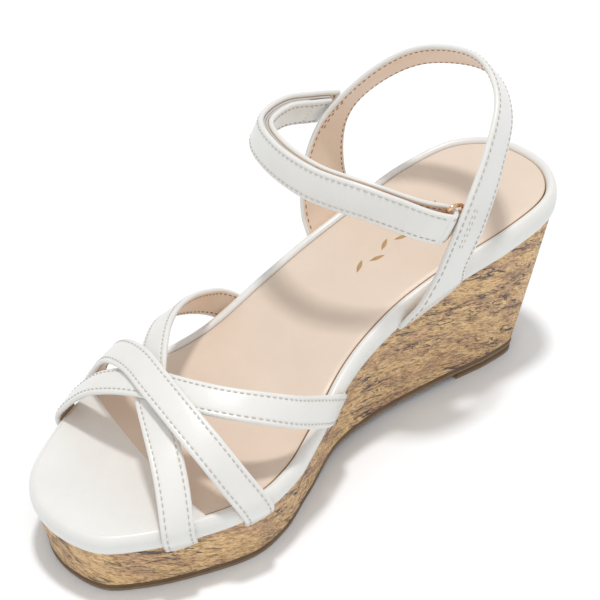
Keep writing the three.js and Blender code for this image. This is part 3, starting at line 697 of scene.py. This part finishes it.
def tread(points):
    """Shallow wave-shaped grooves across the forepart and heel, none near the edge."""
    x, y = points[:, 0], points[:, 1]
    wave = np.sin((y + 1.6 * np.sin(x / 4.2)) * 2 * np.pi / 4.6)
    groove = smooth_step(0.25, 0.75, wave) * 0.55
    unraked = np.column_stack([x, y + rake(y)])
    inside = smooth_step(6, 9, outline_distance(unraked) - taper(y))
    return groove * inside * (1 - smooth_step(-92, -84, y) * (1 - smooth_step(-21, -17, y)))


def build_outsole():
    side = [(0.9, 0.0), (0.45, 0.02), (0.3, 0.12), (0.25, 0.4), (0.32, 0.46), (0.08, 0.5),
            (0.0, 0.56), (0.0, 0.9), (0.1, 1.0), (0.6, 1.0)]
    thick = lambda y: waist(y) + OUTSOLE_THICKNESS
    piece = sole_slab("outsole_sheet", waist, thick, side, RUBBER, tread)
    on_body(sharpen(piece, 50), "sole", "outsole")
    side = [(1.1, 0.0), (0.75, 0.05), (0.6, 0.3), (0.5, 0.92), (0.8, 1.0)]
    lift_top = lambda y: 0 * y + WAIST_LIFT - SOLE_GAP
    piece = sole_slab("heel_top_piece", lambda y: 0 * y, lift_top, side, RUBBER, tread, HEEL_BREAST)
    on_body(sharpen(piece, 50), "sole", "heel_lift")


def build_rim():
    """Padded roll round the footbed, wrapped in the white upper material."""
    # (inset, part of the height from the seam to the crest)
    shape = catmull([(0.75, 0.0), (0.3, 0.1), (0.02, 0.33), (0.05, 0.6), (0.5, 0.82), (1.35, 0.965),
                     (2.15, 1.0), (2.95, 0.955), (3.55, 0.83), (3.8, 0.66), (3.8, 0.3), (3.8, 0.0)])
    section = evenly(shape * np.array([1, 6.0]), 30) / np.array([1, 6.0])

    def at(part):
        return lambda y: seam_height(y) + part * (rim_drop(y) + RIM_CREST)

    points, faces = ring_of([(inset, at(part)) for inset, part in section])
    piece = new_piece("rim_roll", points, faces, WHITE)
    on_body(sharpen(piece, 60), "sole", "rim_binding")


def build_toe_cover():
    """White cover over the toe platform, turned down at its rear edge."""
    rows, columns = 70, 49
    last = (index_at(-1, SOCK_FRONT_LATERAL), index_at(1, SOCK_FRONT_MEDIAL))
    plan = sole_rows((0, 0), last, rows, columns, 2.0, lambda part: SOCK_FRONT_BOW * part ** 2)
    part = np.linspace(0, 1, rows)[:, None]
    t = np.linspace(0, 1, columns)[None]
    y = plan[..., 1]
    inside = outline_distance(plan.reshape(-1, 2)).reshape(rows, columns) - 2.0
    crown = 0.8 * (1 - np.exp(-inside / 9)) * (1 - 0.5 * part ** 3)
    z = bed_height(y) + RIM_CREST + 0.04 + crown + 0 * t
    sheet = [np.column_stack([plan[i], z[i]]) for i in range(rows)]
    for back, down in ((0.28, 0.06), (0.5, 0.22), (0.62, 0.5), (0.62, 1.1), (0.4, 1.6)):
        sheet.append(sheet[rows - 1] + np.array([0, back, -down]))
    points = np.vstack(sheet)
    piece = new_piece("toe_cover", points, grid_faces(len(sheet), columns), WHITE)
    solidify = piece.modifiers.new("thickness", "SOLIDIFY")
    solidify.thickness = 0.5 * MM
    solidify.offset = -1
    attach(piece, "sole")


def puffed(piece, held, pressure, cap, frames=16):
    """Swells a sheet by cloth simulation, with its held points fixed and its rise capped."""
    group = piece.vertex_groups.new(name="held")
    for index, weight in enumerate(held):
        group.add([index], float(weight), "REPLACE")
    cloth = piece.modifiers.new("swell", "CLOTH")
    settings = cloth.settings
    settings.quality = 6
    settings.use_pressure = True
    settings.uniform_pressure_force = pressure
    settings.vertex_group_mass = "held"
    settings.tension_stiffness = settings.compression_stiffness = 25
    settings.bending_stiffness = 2
    settings.effector_weights.gravity = 0
    cloth.point_cache.frame_start = 1
    cloth.point_cache.frame_end = frames
    for frame_number in range(1, frames + 1):
        bpy.context.scene.frame_set(frame_number)
    swollen = piece.evaluated_get(bpy.context.evaluated_depsgraph_get()).to_mesh()
    count = len(piece.data.vertices)
    before, after = np.empty(count * 3), np.empty(count * 3)
    piece.data.vertices.foreach_get("co", before)
    swollen.vertices.foreach_get("co", after)
    moved = (after - before).reshape(-1, 3)
    far = np.linalg.norm(moved, axis=1, keepdims=True)
    limit = cap * MM
    moved *= limit * np.tanh(far / limit) / np.maximum(far, 1e-12)
    piece.data.vertices.foreach_set("co", before + moved.ravel())
    piece.modifiers.remove(cloth)
    bpy.context.scene.frame_set(1)
    piece.data.update()


def build_sock():
    rows, columns = 150, 45
    first = (index_at(-1, SOCK_FRONT_LATERAL) - 4, index_at(1, SOCK_FRONT_MEDIAL) - 4)
    plan = sole_rows(first, (HALF_STEPS, HALF_STEPS), rows, columns, RIM_WIDTH - 0.05,
                     lambda part: SOCK_FRONT_BOW * (1 - part) ** 6)
    flat = plan.reshape(-1, 2)
    inside = np.maximum(outline_distance(flat) - RIM_WIDTH + 0.05, 0)
    z = bed_height(flat[:, 1]) - 0.5 * np.exp(-(inside / 0.9) ** 1.5) + 0.5 * (1 - np.exp(-inside / 7))
    points = np.column_stack([flat, z])
    piece = new_piece("sock_cover", points, grid_faces(rows, columns), SOCK, {"edge": inside})
    kept = np.empty(len(piece.data.vertices))
    piece.data.attributes["edge"].data.foreach_get("value", kept)
    puffed(piece, 1 - smooth_step(0.4, 3.0, kept), SOCK_PRESSURE, SOCK_SWELL)
    solidify = piece.modifiers.new("thickness", "SOLIDIFY")
    solidify.thickness = 0.9 * MM
    solidify.offset = -1
    on_body(piece, "sole", "sock")


# ---------------------------------------------------------------- straps


class Path:
    """A strap's centre line with its across and outward directions and half width."""

    def __init__(self, centre, across, outside_of, width):
        self.centre = centre
        self.along = unit(np.gradient(centre, axis=0))
        across = across - self.along * (across * self.along).sum(axis=1, keepdims=True)
        self.across = unit(across)
        out = unit(np.cross(self.along, self.across))
        flip = np.sign(((centre - outside_of) * out).sum(axis=1, keepdims=True))
        self.out = out * np.where(flip == 0, 1, flip)
        self.half = np.broadcast_to(np.asarray(width, float) / 2, (len(centre),)).copy()
        self.length = lengths_along(centre)

    def at(self, s):
        """Centre, across, out and half width at lengths s."""
        pick = lambda rows: np.stack([np.interp(s, self.length, rows[:, k]) for k in range(3)], 1)
        half = np.interp(s, self.length, self.half)
        return pick(self.centre), unit(pick(self.across)), unit(pick(self.out)), half

    def part(self, start, end):
        """The stretch between two indices, end included."""
        made = object.__new__(Path)
        for key in ("centre", "along", "across", "out", "half"):
            setattr(made, key, getattr(self, key)[start:end + 1])
        made.length = lengths_along(made.centre)
        return made


def folded_section(half, low, high, crown, groove, hollow):
    """Closed cross-section of a strap layer with rounded edges, hollowed below if it is folded."""
    radius = (high - low) / 2
    middle = (high + low) / 2
    reach = half - radius
    turn = np.linspace(-np.pi / 2, np.pi / 2, 7)
    right = np.column_stack([reach + radius * np.cos(turn), middle + radius * np.sin(turn)])
    a = reach * np.cos(np.linspace(0, np.pi, 33))[1:-1]
    dip = groove * np.exp(-((np.abs(a) - (half - STITCH_INSET)) / 0.36) ** 2)
    top = np.column_stack([a, high + crown * (1 - (a / reach) ** 2) - dip])
    left = np.column_stack([-right[::-1, 0], right[::-1, 1]])
    inner = half - FOLD_WIDTH if hollow else reach - 0.1
    span = inner * np.array([-1, -1, -0.5, 0, 0.5, 1, 1])
    under = np.column_stack([span, low + hollow * np.array([0, 1, 1, 1, 1, 1, 0])])
    return np.vstack([right, top, left, under])


def band(name, path, low, high, material, crown=0.22, groove=0.13, narrower=0.0, hollow=0.0):
    """A strap layer between two offsets along the path's outward direction."""
    rings = []
    for centre, across, out, half in zip(path.centre, path.across, path.out, path.half):
        section = folded_section(half - narrower, low, high, crown, groove, hollow)
        rings.append(centre + section[:, :1] * across + section[:, 1:] * out)
    return sharpen(lofted(name, rings, material), 55)


def stitches_on(path, offset, height, start=1.0, end=1.0, down=1.0, period=STITCH_PERIOD):
    """Thread stitches along a path at offset(half) across and a height along out."""
    total = path.length[-1]
    count = max(2, int((total - start - end) / period))
    mid = start + (np.arange(count) + 0.5) * (total - start - end) / count
    stations = np.linspace(-1, 1, 7)
    swell = np.array([0.35, 0.8, 1.0, 1.0, 1.0, 0.8, 0.35])
    rise = np.array([-0.9, -0.1, 0.25, 0.3, 0.25, -0.1, -0.9])
    around = np.linspace(0, 2 * np.pi, 6, endpoint=False)
    points = []
    for position, size, lift in zip(stations, swell, rise):
        centre, across, out, half = path.at(mid + position * STITCH_LENGTH / 2)
        base = centre + across * offset(half)[:, None] + out * (height + down * lift * THREAD_RADIUS)
        for angle in around:
            points.append(base + size * THREAD_RADIUS * (np.cos(angle) * across * 1.15
                                                         + np.sin(angle) * out))
    points = np.stack(points, axis=1).reshape(-1, 3)
    ring = grid_faces(len(stations), 6, wrap_columns=True)
    ring += [tuple(range(6))[::-1], tuple(range(36, 42))]
    faces = [tuple(i + base for i in face) for base in range(0, 42 * count, 42) for face in ring]
    return points, faces


def cross_row(path, step, height, down=1.0):
    """A stitch line straight across a strap at one step of its path."""
    reach = np.linspace(-1, 1, 12)[:, None] * (path.half[step] - STITCH_INSET)
    line = Path(path.centre[step] + reach * path.across[step], np.repeat(path.along[step][None], 12, 0),
                path.centre[step] - path.out[step], 1)
    return stitches_on(line, lambda half: 0 * half, height, 0, 0, down, 1.6)


def two_rows(path, height, down=1.0, inset=STITCH_INSET, **ends):
    """Stitch lines along both edges of a strap."""
    return [stitches_on(path, lambda half, side=side: side * (half - inset), height, down=down, **ends)
            for side in (-1, 1)]


# Offsets along the outward direction. The cover is folded round the edges, and the lining
# fills the hollow between the folds.
COVER = (0.07 - STRAP_STACK / 2, STRAP_STACK / 2)
COVER_HOLLOW = STRAP_LINING - 0.02
LINED = (-STRAP_STACK / 2, STRAP_LINING - STRAP_STACK / 2)
COVER_STITCH = COVER[1] + 0.06
LINING_STITCH = LINED[0] - 0.01


def cover_band(name, path):
    return band(name, path, *COVER, WHITE, hollow=COVER_HOLLOW)


def lining_band(name, path):
    return band(name, path, *LINED, LINING, crown=0, groove=0, narrower=FOLD_WIDTH + 0.04)


def tucked(centre, reach, depth):
    """Brings the ends of a strap line in to the seam between the rim and the cork."""
    flat = centre[:, :2]
    outside = -outline_distance(flat)
    above = centre[:, 2] - seam_height(centre[:, 1])
    nearest = np.array([((OUTLINE - point) ** 2).sum(axis=1).argmin() for point in flat])
    hug = 1 - smooth_step(1.0, reach, above)
    target = np.minimum(outside, STRAP_STACK / 2 + 0.15)
    pull = (outside - target) * hug + depth * (1 - smooth_step(-0.6, 2.2, above)) ** 1.5
    moved = centre.copy()
    moved[:, :2] += INWARD[nearest] * pull[:, None]
    return moved


def smoothed(rows, spread):
    """Gaussian smoothing along a row of points, ends kept."""
    k = np.arange(-3 * spread, 3 * spread + 1)
    weight = np.exp(-(k / spread) ** 2 / 2)
    weight /= weight.sum()
    padded = np.vstack([2 * rows[0] - rows[1:3 * spread + 1][::-1], rows,
                        2 * rows[-1] - rows[-3 * spread - 1:-1][::-1]])
    return sum(w * padded[i:i + len(rows)] for i, w in enumerate(weight))


def vamp_form(y, angle):
    """The stretched form the vamp straps lie on: angle 0 is the lateral edge, pi the medial."""
    lateral, medial = edge_x(y, -1), edge_x(y, 1)
    reach = (medial - lateral) / 2 + VAMP_CLEARANCE
    rise = VAMP_RISE + VAMP_RISE_SLOPE * (y - VAMP_RISE_Y)
    side, up = np.cos(angle), np.sin(angle)
    hollow = VAMP_HOLLOW * HOLLOW_PEAK * up ** 2 * np.maximum(0, side)
    return np.column_stack([(medial + lateral) / 2 - reach * side + hollow, y,
                            bed_height(y) + VAMP_BASE + rise * up])


def vamp_path(lateral, medial, bow, swing, layer):
    angle = np.linspace(0, np.pi, 161)
    y = (lateral + (medial - lateral) * (1 - np.cos(angle)) / 2 + bow * np.sin(angle)
         + swing * np.sin(2 * angle))
    centre = vamp_form(y, angle)
    slope = vamp_form(y + 2, angle) - vamp_form(y - 2, angle)

    def beyond(end, inner):
        return [end + (end - inner) / np.linalg.norm(end - inner) * reach for reach in END_REACHES]

    before, after = beyond(centre[0], centre[1])[::-1], beyond(centre[-1], centre[-2])
    centre = np.vstack([*before, centre, *after])
    slope = np.vstack([np.repeat(slope[:1], 3, 0), slope, np.repeat(slope[-1:], 3, 0)])
    spine = np.array(VAMP_MIDDLE)
    path = Path(centre, slope, spine, VAMP_STRAP_WIDTH)
    part = np.abs(np.linspace(0, 1, len(centre)) - 0.5)
    lift = 1 - smooth_step(CROSSING_FLAT, CROSSING_FLAT + CROSSING_FADE, part)
    lifted = centre + path.out * (layer * CROSSING_STEP * lift)[:, None]
    return Path(smoothed(tucked(lifted, *VAMP_TUCK), 2), slope, spine, VAMP_STRAP_WIDTH)


def strap_pieces(label, path, node, fasten, top_rows=(), under_rows=()):
    """A strap's cover, lining and two edge stitchings, with any other rows; fasten gives the body."""
    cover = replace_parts(cover_band(f"{label}_upper", path), f"{node}_cover")
    fasten(cover)
    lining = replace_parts(lining_band(f"{label}_underside", path), f"{node}_lining")
    fasten(lining)
    top = merged([*two_rows(path, COVER_STITCH), *top_rows])
    fasten(new_piece(f"{label}_topstitch", *top, PALE_THREAD))
    under = merged([*two_rows(path, LINING_STITCH, -1.0), *under_rows])
    fasten(new_piece(f"{label}_bottomstitch", *under, BROWN_THREAD))


def build_vamp_straps():
    for key, dims in VAMP_STRAPS.items():
        name = f"vamp_strap_{key}"
        strap_pieces(name, vamp_path(**dims), name, lambda piece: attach(piece, "sole"))


def seam_direction(side, root, half):
    """Forward direction of the rim's seam at a strap's root, per millimetre of strap width."""
    inset = edge_x(root[1], side) - root[0]
    front, rear = (np.array([edge_x(y, side) - inset, y, seam_height(y)])
                   for y in (root[1] - half, root[1] + half))
    return (front - rear) / (2 * half)


def heel_strap_path():
    centre = evenly(catmull(HEEL_STRAP_LINE), 220)
    part = np.linspace(0, 1, len(centre))
    lean = smooth_table(HEEL_STRAP_LEAN)(part)
    across = np.column_stack([0 * lean, -np.cos(lean), np.sin(lean)])
    flare = 2 - smooth_step(0, LATERAL_FLARE_PART, part) - smooth_step(0, MEDIAL_FLARE_PART, 1 - part)
    width = HEEL_STRAP_WIDTH + HEEL_STRAP_FLARE * flare
    centre = smoothed(tucked(centre, *HEEL_STRAP_TUCK), 2)
    path = Path(centre, across, np.array(HEEL_STRAP_MIDDLE), width)
    for side, end, away in ((-1, 0, part), (1, -1, 1 - part)):
        follow = (1 - smooth_step(0, ROOT_PART, away))[:, None]
        seam = seam_direction(side, centre[end], path.half[end])
        path.across = path.across * (1 - follow) + seam * follow
    return path


def run_seam_row(half):
    """The extra stitch row beside the front edge where the ankle strap's run is sewn on."""
    return half - STITCH_INSET - 1.1


def build_heel_strap():
    path = heel_strap_path()

    def bend(piece):
        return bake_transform(piece)

    near_tab = np.linalg.norm(path.centre - from_ring([0, RING_BAR_SPACING, 0]), axis=1).argmin()
    tacked = path.part(near_tab - TACK_REACH, near_tab + TACK_REACH)
    tacks = [stitches_on(tacked, lambda half, row=row: half - row, COVER_STITCH + 0.1, period=1.7)
             for row in TACK_ROWS]
    bend(new_piece("ring_tab_tacks", *merged(tacks), PALE_THREAD))
    near_run = np.linalg.norm(path.centre - np.array(ANKLE_LINE[0]), axis=1).argmin()
    sewn = path.part(near_run - RUN_SEAM_REACH, near_run + RUN_SEAM_REACH)
    seam_row = stitches_on(sewn, run_seam_row, LINING_STITCH, down=-1.0)
    strap_pieces("heel_strap", path, "heel_strap", bend, under_rows=[seam_row])


FLAP_OFFSET = STRAP_STACK + 2 * TAPE_THICKNESS + 3 * CLOSURE_GAP


def ankle_path(offset=0.0, end_offset=0.0, faces_ankle=False):
    """Line round the ankle, moved outwards by an offset that changes near the ring."""
    base = evenly(catmull(ANKLE_LINE), 200)
    part = np.linspace(0, 1, len(base))
    tip = np.column_stack([smooth_table(ANKLE_TIP_SIDEWAYS)(part), smooth_table(ANKLE_TIP_BACK)(part),
                           np.ones(len(part))])
    path = Path(base, tip, np.array(ANKLE_MIDDLE), ANKLE_STRAP_WIDTH)
    opening = smooth_step(FOLD_OPENING, 1, part)
    path.centre = base + path.out * (offset + (end_offset - offset) * opening)[:, None]
    path.length = lengths_along(path.centre)
    path.along = unit(np.gradient(path.centre, axis=0))
    if faces_ankle:
        path.out = -path.out
    return path


def fold_frame():
    """The ring's front bar: its middle, and the strap's outward and rearward directions there."""
    line = ankle_path()
    along = np.cross(line.across[-1], line.out[-1])
    return line.centre[-1] + line.out[-1] * FOLD_RADIUS, line.out[-1], along * np.sign(along[1])


RING_BAR, FOLD_OUT, FOLD_ALONG = fold_frame()
RING_UP = ankle_path().across[-1]


def fold_path():
    """Half turn round the ring's front bar, from the run to the flap."""
    angle = np.linspace(np.pi, 0, 41)[:, None]
    centre = RING_BAR + FOLD_RADIUS * (np.cos(angle) * FOLD_OUT + np.sin(angle) * FOLD_ALONG)
    return Path(centre, np.repeat(RING_UP[None], len(centre), 0), RING_BAR, ANKLE_STRAP_WIDTH)


def from_ring(points):
    """Points of the ring's own frame: x outwards, y from the front bar to the rear bar, z up."""
    heading = np.array(RING_HEADING)
    heading = unit(heading - RING_UP * (heading @ RING_UP))
    axes = np.array([np.cross(heading, RING_UP), heading, RING_UP])
    return RING_BAR + np.asarray(points, float) @ axes


def tape_band(name, path, low, high):
    """A strip of closure tape: straight cut edges, its place stored for the weave."""
    half = TAPE_WIDTH / 2
    a = np.concatenate([np.linspace(-half, half, 13), np.linspace(half, -half, 13)])
    b = np.concatenate([np.full(13, high), np.full(13, low)])
    rings = [c + a[:, None] * x + b[:, None] * o for c, x, o in zip(path.centre, path.across, path.out)]
    weave = np.vstack([np.column_stack([np.full(26, s), a, b]) for s in path.length])
    return sharpen(lofted(name, rings, TAPE, {"weave": weave}), 40)


def build_ankle_strap():
    run = ankle_path(faces_ankle=True)
    flap = ankle_path(FLAP_OFFSET, 2 * FOLD_RADIUS)
    last = len(run.centre) - 1
    sewn = run.part(round(RUN_START * last), last)
    for label, path, node, body, steps in (
            ("ankle_run", sewn, "ankle_strap", "heel_strap", RUN_END_ROWS),
            ("ankle_flap", flap, "flap", "strap_flap", FLAP_END_ROWS)):
        top = [cross_row(path, step, COVER_STITCH) for step in steps]
        under = [cross_row(path, step, LINING_STITCH, -1.0) for step in steps]
        strap_pieces(label, path, node, lambda piece, body=body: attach(piece, body), top, under)
    fold = fold_path()
    fold_rows = merged(two_rows(fold, COVER_STITCH, start=0.3, end=0.3))
    for piece in (cover_band("ankle_fold_upper", fold),
                  lining_band("ankle_fold_underside", fold),
                  new_piece("ankle_fold_stitching", *fold_rows, PALE_THREAD)):
        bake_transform(piece)
    tape_outer = LINED[0] - CLOSURE_GAP
    tapes = (("loop_tape", run, LOOP_PART, "heel_strap"), ("hook_tape", flap, HOOK_PART, "strap_flap"))
    for node, path, span, body in tapes:
        stretch = path.part(*(round(part * last) for part in span))
        strip = tape_band(f"{node}_strip", stretch, tape_outer - TAPE_THICKNESS, tape_outer)
        on_body(strip, body, node)


# ---------------------------------------------------------------- metal ring and its tab


def build_ring():
    middle = RING_BAR_SPACING / 2
    half_y = middle - RING_CORNER
    half_z = RING_INNER_HEIGHT / 2 + RING_WIRE - RING_CORNER
    path = []
    for quarter, (sy, sz) in enumerate(((1, 1), (-1, 1), (-1, -1), (1, -1))):
        for angle in np.linspace(0, np.pi / 2, 13) + quarter * np.pi / 2:
            path.append((0, middle + sy * half_y + RING_CORNER * math.cos(angle),
                         sz * half_z + RING_CORNER * math.sin(angle)))
    path = np.array(path)
    along = unit(np.roll(path, -1, axis=0) - np.roll(path, 1, axis=0))
    side = np.array([1.0, 0, 0])
    up = np.cross(along, side)
    around = np.linspace(0, 2 * np.pi, 20, endpoint=False)
    rings = [p + RING_WIRE * (np.cos(around)[:, None] * side + np.sin(around)[:, None] * u)
             for p, u in zip(path, up)]
    faces = grid_faces(len(rings), 20, True, True)
    piece = new_piece("ring_wire", from_ring(np.vstack(rings)), faces, ROSE_GOLD)
    on_body(piece, "ring", "strap_ring")


def build_ring_tab():
    """Folded band round the ring's rear bar, its two ends brought together behind the bar."""
    turn = [(TAB_RADIUS * math.cos(a), TAB_RADIUS * math.sin(a)) for a in np.linspace(0, -np.pi, 9)]
    plan = [(0.35, 6.5), (0.6, 4.2), (1.2, 1.6), *turn, (-1.2, 1.6), (-0.65, 4.2), (-0.65, 6.5)]
    flat = catmull(plan, per_span=10)
    flat[:, 1] += RING_BAR_SPACING
    centre = from_ring(evenly(np.column_stack([flat, np.zeros(len(flat))]), 90))
    middle = from_ring([0, RING_BAR_SPACING, 0])
    path = Path(centre, np.repeat(RING_UP[None], len(centre), 0), middle, TAB_HEIGHT)
    low, high = -TAB_THICKNESS / 2, TAB_THICKNESS / 2
    piece = band("ring_tab_fold", path, low, high, WHITE, crown=0.08, groove=0.05)
    on_body(piece, "heel_strap", "ring_tab")


# ---------------------------------------------------------------- foil motif


def build_foil():
    """A plain row of leaf shapes in foil; it carries no lettering."""
    parts = []
    for k, y in enumerate(np.linspace(-44, -12, 7)):
        lean = 0.9 if k % 2 else -0.9
        t = np.linspace(0, 1, 9)
        wide = 0.72 * np.sin(np.pi * t)
        spine = np.column_stack([lean * 2.6 * t, y + 4.4 * t])
        side = np.array([0.86, -0.5 * lean])
        edge = np.vstack([spine + wide[:, None] * side, (spine - wide[:, None] * side)[::-1][1:-1]])
        x, yy = edge[:, 0] - 1.0, edge[:, 1]
        top = np.column_stack([x, yy, bed_height(yy) + 0.55])
        low = top - [0, 0, 0.25]
        n = len(edge)
        faces = [tuple(range(n)), tuple(range(n, 2 * n))[::-1]]
        faces += [(i, (i + 1) % n, n + (i + 1) % n, n + i) for i in range(n)]
        parts.append((np.vstack([top, low]), faces))
    piece = sharpen(new_piece("foil_leaves", *merged(parts), GOLD_FOIL), 30)
    on_body(piece, "sole", "foil_ornament")


# ---------------------------------------------------------------- hidden pieces and stage


def finish_hidden_nodes():
    looks = {
        "wedge_core": plain("sole_foam", (0.62, 0.55, 0.44), (0.54, 0.47, 0.37), 0.9, 900),
        "insole_board": plain("fibre_board", (0.46, 0.29, 0.15), (0.36, 0.22, 0.11), 0.85, 700),
        "latex_pad": plain("latex_foam", (0.88, 0.81, 0.62), (0.8, 0.73, 0.55), 0.8, 1400),
        "shank": plain("steel", (0.5, 0.51, 0.53), (0.42, 0.43, 0.45), 0.35, 500, 1.0),
    }
    looks["shank_rivet_front"] = looks["shank_rivet_rear"] = looks["shank"]
    for node, look in looks.items():
        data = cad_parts[node].data
        data.materials.clear()
        data.materials.append(look)


CAMERA_PLACE = (491.2, -485.5, 497.5)
CAMERA_AZIMUTH = math.radians(49.67)
CAMERA_ELEVATION = math.radians(34.95)
CAMERA_ROLL = math.radians(-1.91)
LENS = 153.7
FLOOR_REACH = 4000
FLOOR_LEVEL = -0.05
AREA_LIGHTS = {"fill": ((0.9, -1.0, 1.0), 1.2, 3.4), "back": ((0.2, 1.2, 1.2), 1.2, 1.6)}
SUN_POWER = 1.45
SUN_SPREAD = math.radians(7)
SUN_DIRECTION = (0.03, -0.06, -1.0)
SKY_STRENGTH = 0.66


def build_stage():
    floor_look = Surface("floor", 0.6, Specular_IOR_Level=0.2)
    tone = floor_look.noise(floor_look.place(1), 6, 2)
    floor_look.colour(floor_look.ramp(tone, (0.3, (0.9, 0.925, 0.95)), (0.7, (0.92, 0.945, 0.97))))
    corners = [(x * FLOOR_REACH, y * FLOOR_REACH, FLOOR_LEVEL)
               for x, y in ((-1, -1), (1, -1), (1, 1), (-1, 1))]
    new_piece("floor", corners, [(0, 1, 2, 3)], floor_look.material)

    def area(name, place, size_m, power):
        light = bpy.data.lights.new(name, "AREA")
        light.size = size_m
        light.energy = power
        lamp = bpy.data.objects.new(name, light)
        bpy.context.scene.collection.objects.link(lamp)
        lamp.location = Vector(place)
        aim = Vector((0, -0.07, 0.04)) - lamp.location
        lamp.rotation_euler = aim.to_track_quat("-Z", "Y").to_euler()

    sun = bpy.data.lights.new("key", "SUN")
    sun.energy = SUN_POWER
    sun.angle = SUN_SPREAD
    key = bpy.data.objects.new("key", sun)
    bpy.context.scene.collection.objects.link(key)
    key.rotation_euler = Vector(SUN_DIRECTION).to_track_quat("-Z", "Y").to_euler()
    for name, (place, size_m, power) in AREA_LIGHTS.items():
        area(name, place, size_m, power)
    world = bpy.data.worlds.new("studio")
    world.use_nodes = True
    world.node_tree.nodes["Background"].inputs["Color"].default_value = (1, 1, 1, 1)
    world.node_tree.nodes["Background"].inputs["Strength"].default_value = SKY_STRENGTH
    bpy.context.scene.world = world
    bpy.context.scene.view_settings.view_transform = "Standard"

    camera = bpy.data.cameras.new("camera")
    camera.lens = LENS
    camera.sensor_width = 36
    camera.clip_start = 0.01
    camera.clip_end = 20
    eye = bpy.data.objects.new("camera", camera)
    bpy.context.scene.collection.objects.link(eye)
    level = math.cos(CAMERA_ELEVATION)
    back = Vector((math.sin(CAMERA_AZIMUTH) * level, -math.cos(CAMERA_AZIMUTH) * level,
                   math.sin(CAMERA_ELEVATION)))
    upright = Matrix.Rotation(CAMERA_ROLL, 4, back) @ back.to_track_quat("Z", "Y").to_matrix().to_4x4()
    eye.matrix_world = Matrix.Translation(Vector(CAMERA_PLACE) * MM) @ upright
    bpy.context.scene.camera = eye


# ---------------------------------------------------------------- build

build_cork()
build_outsole()
build_rim()
build_toe_cover()
build_sock()
build_vamp_straps()
build_heel_strap()
build_ankle_strap()
build_ring()
build_ring_tab()
build_foil()
finish_hidden_nodes()
build_stage()
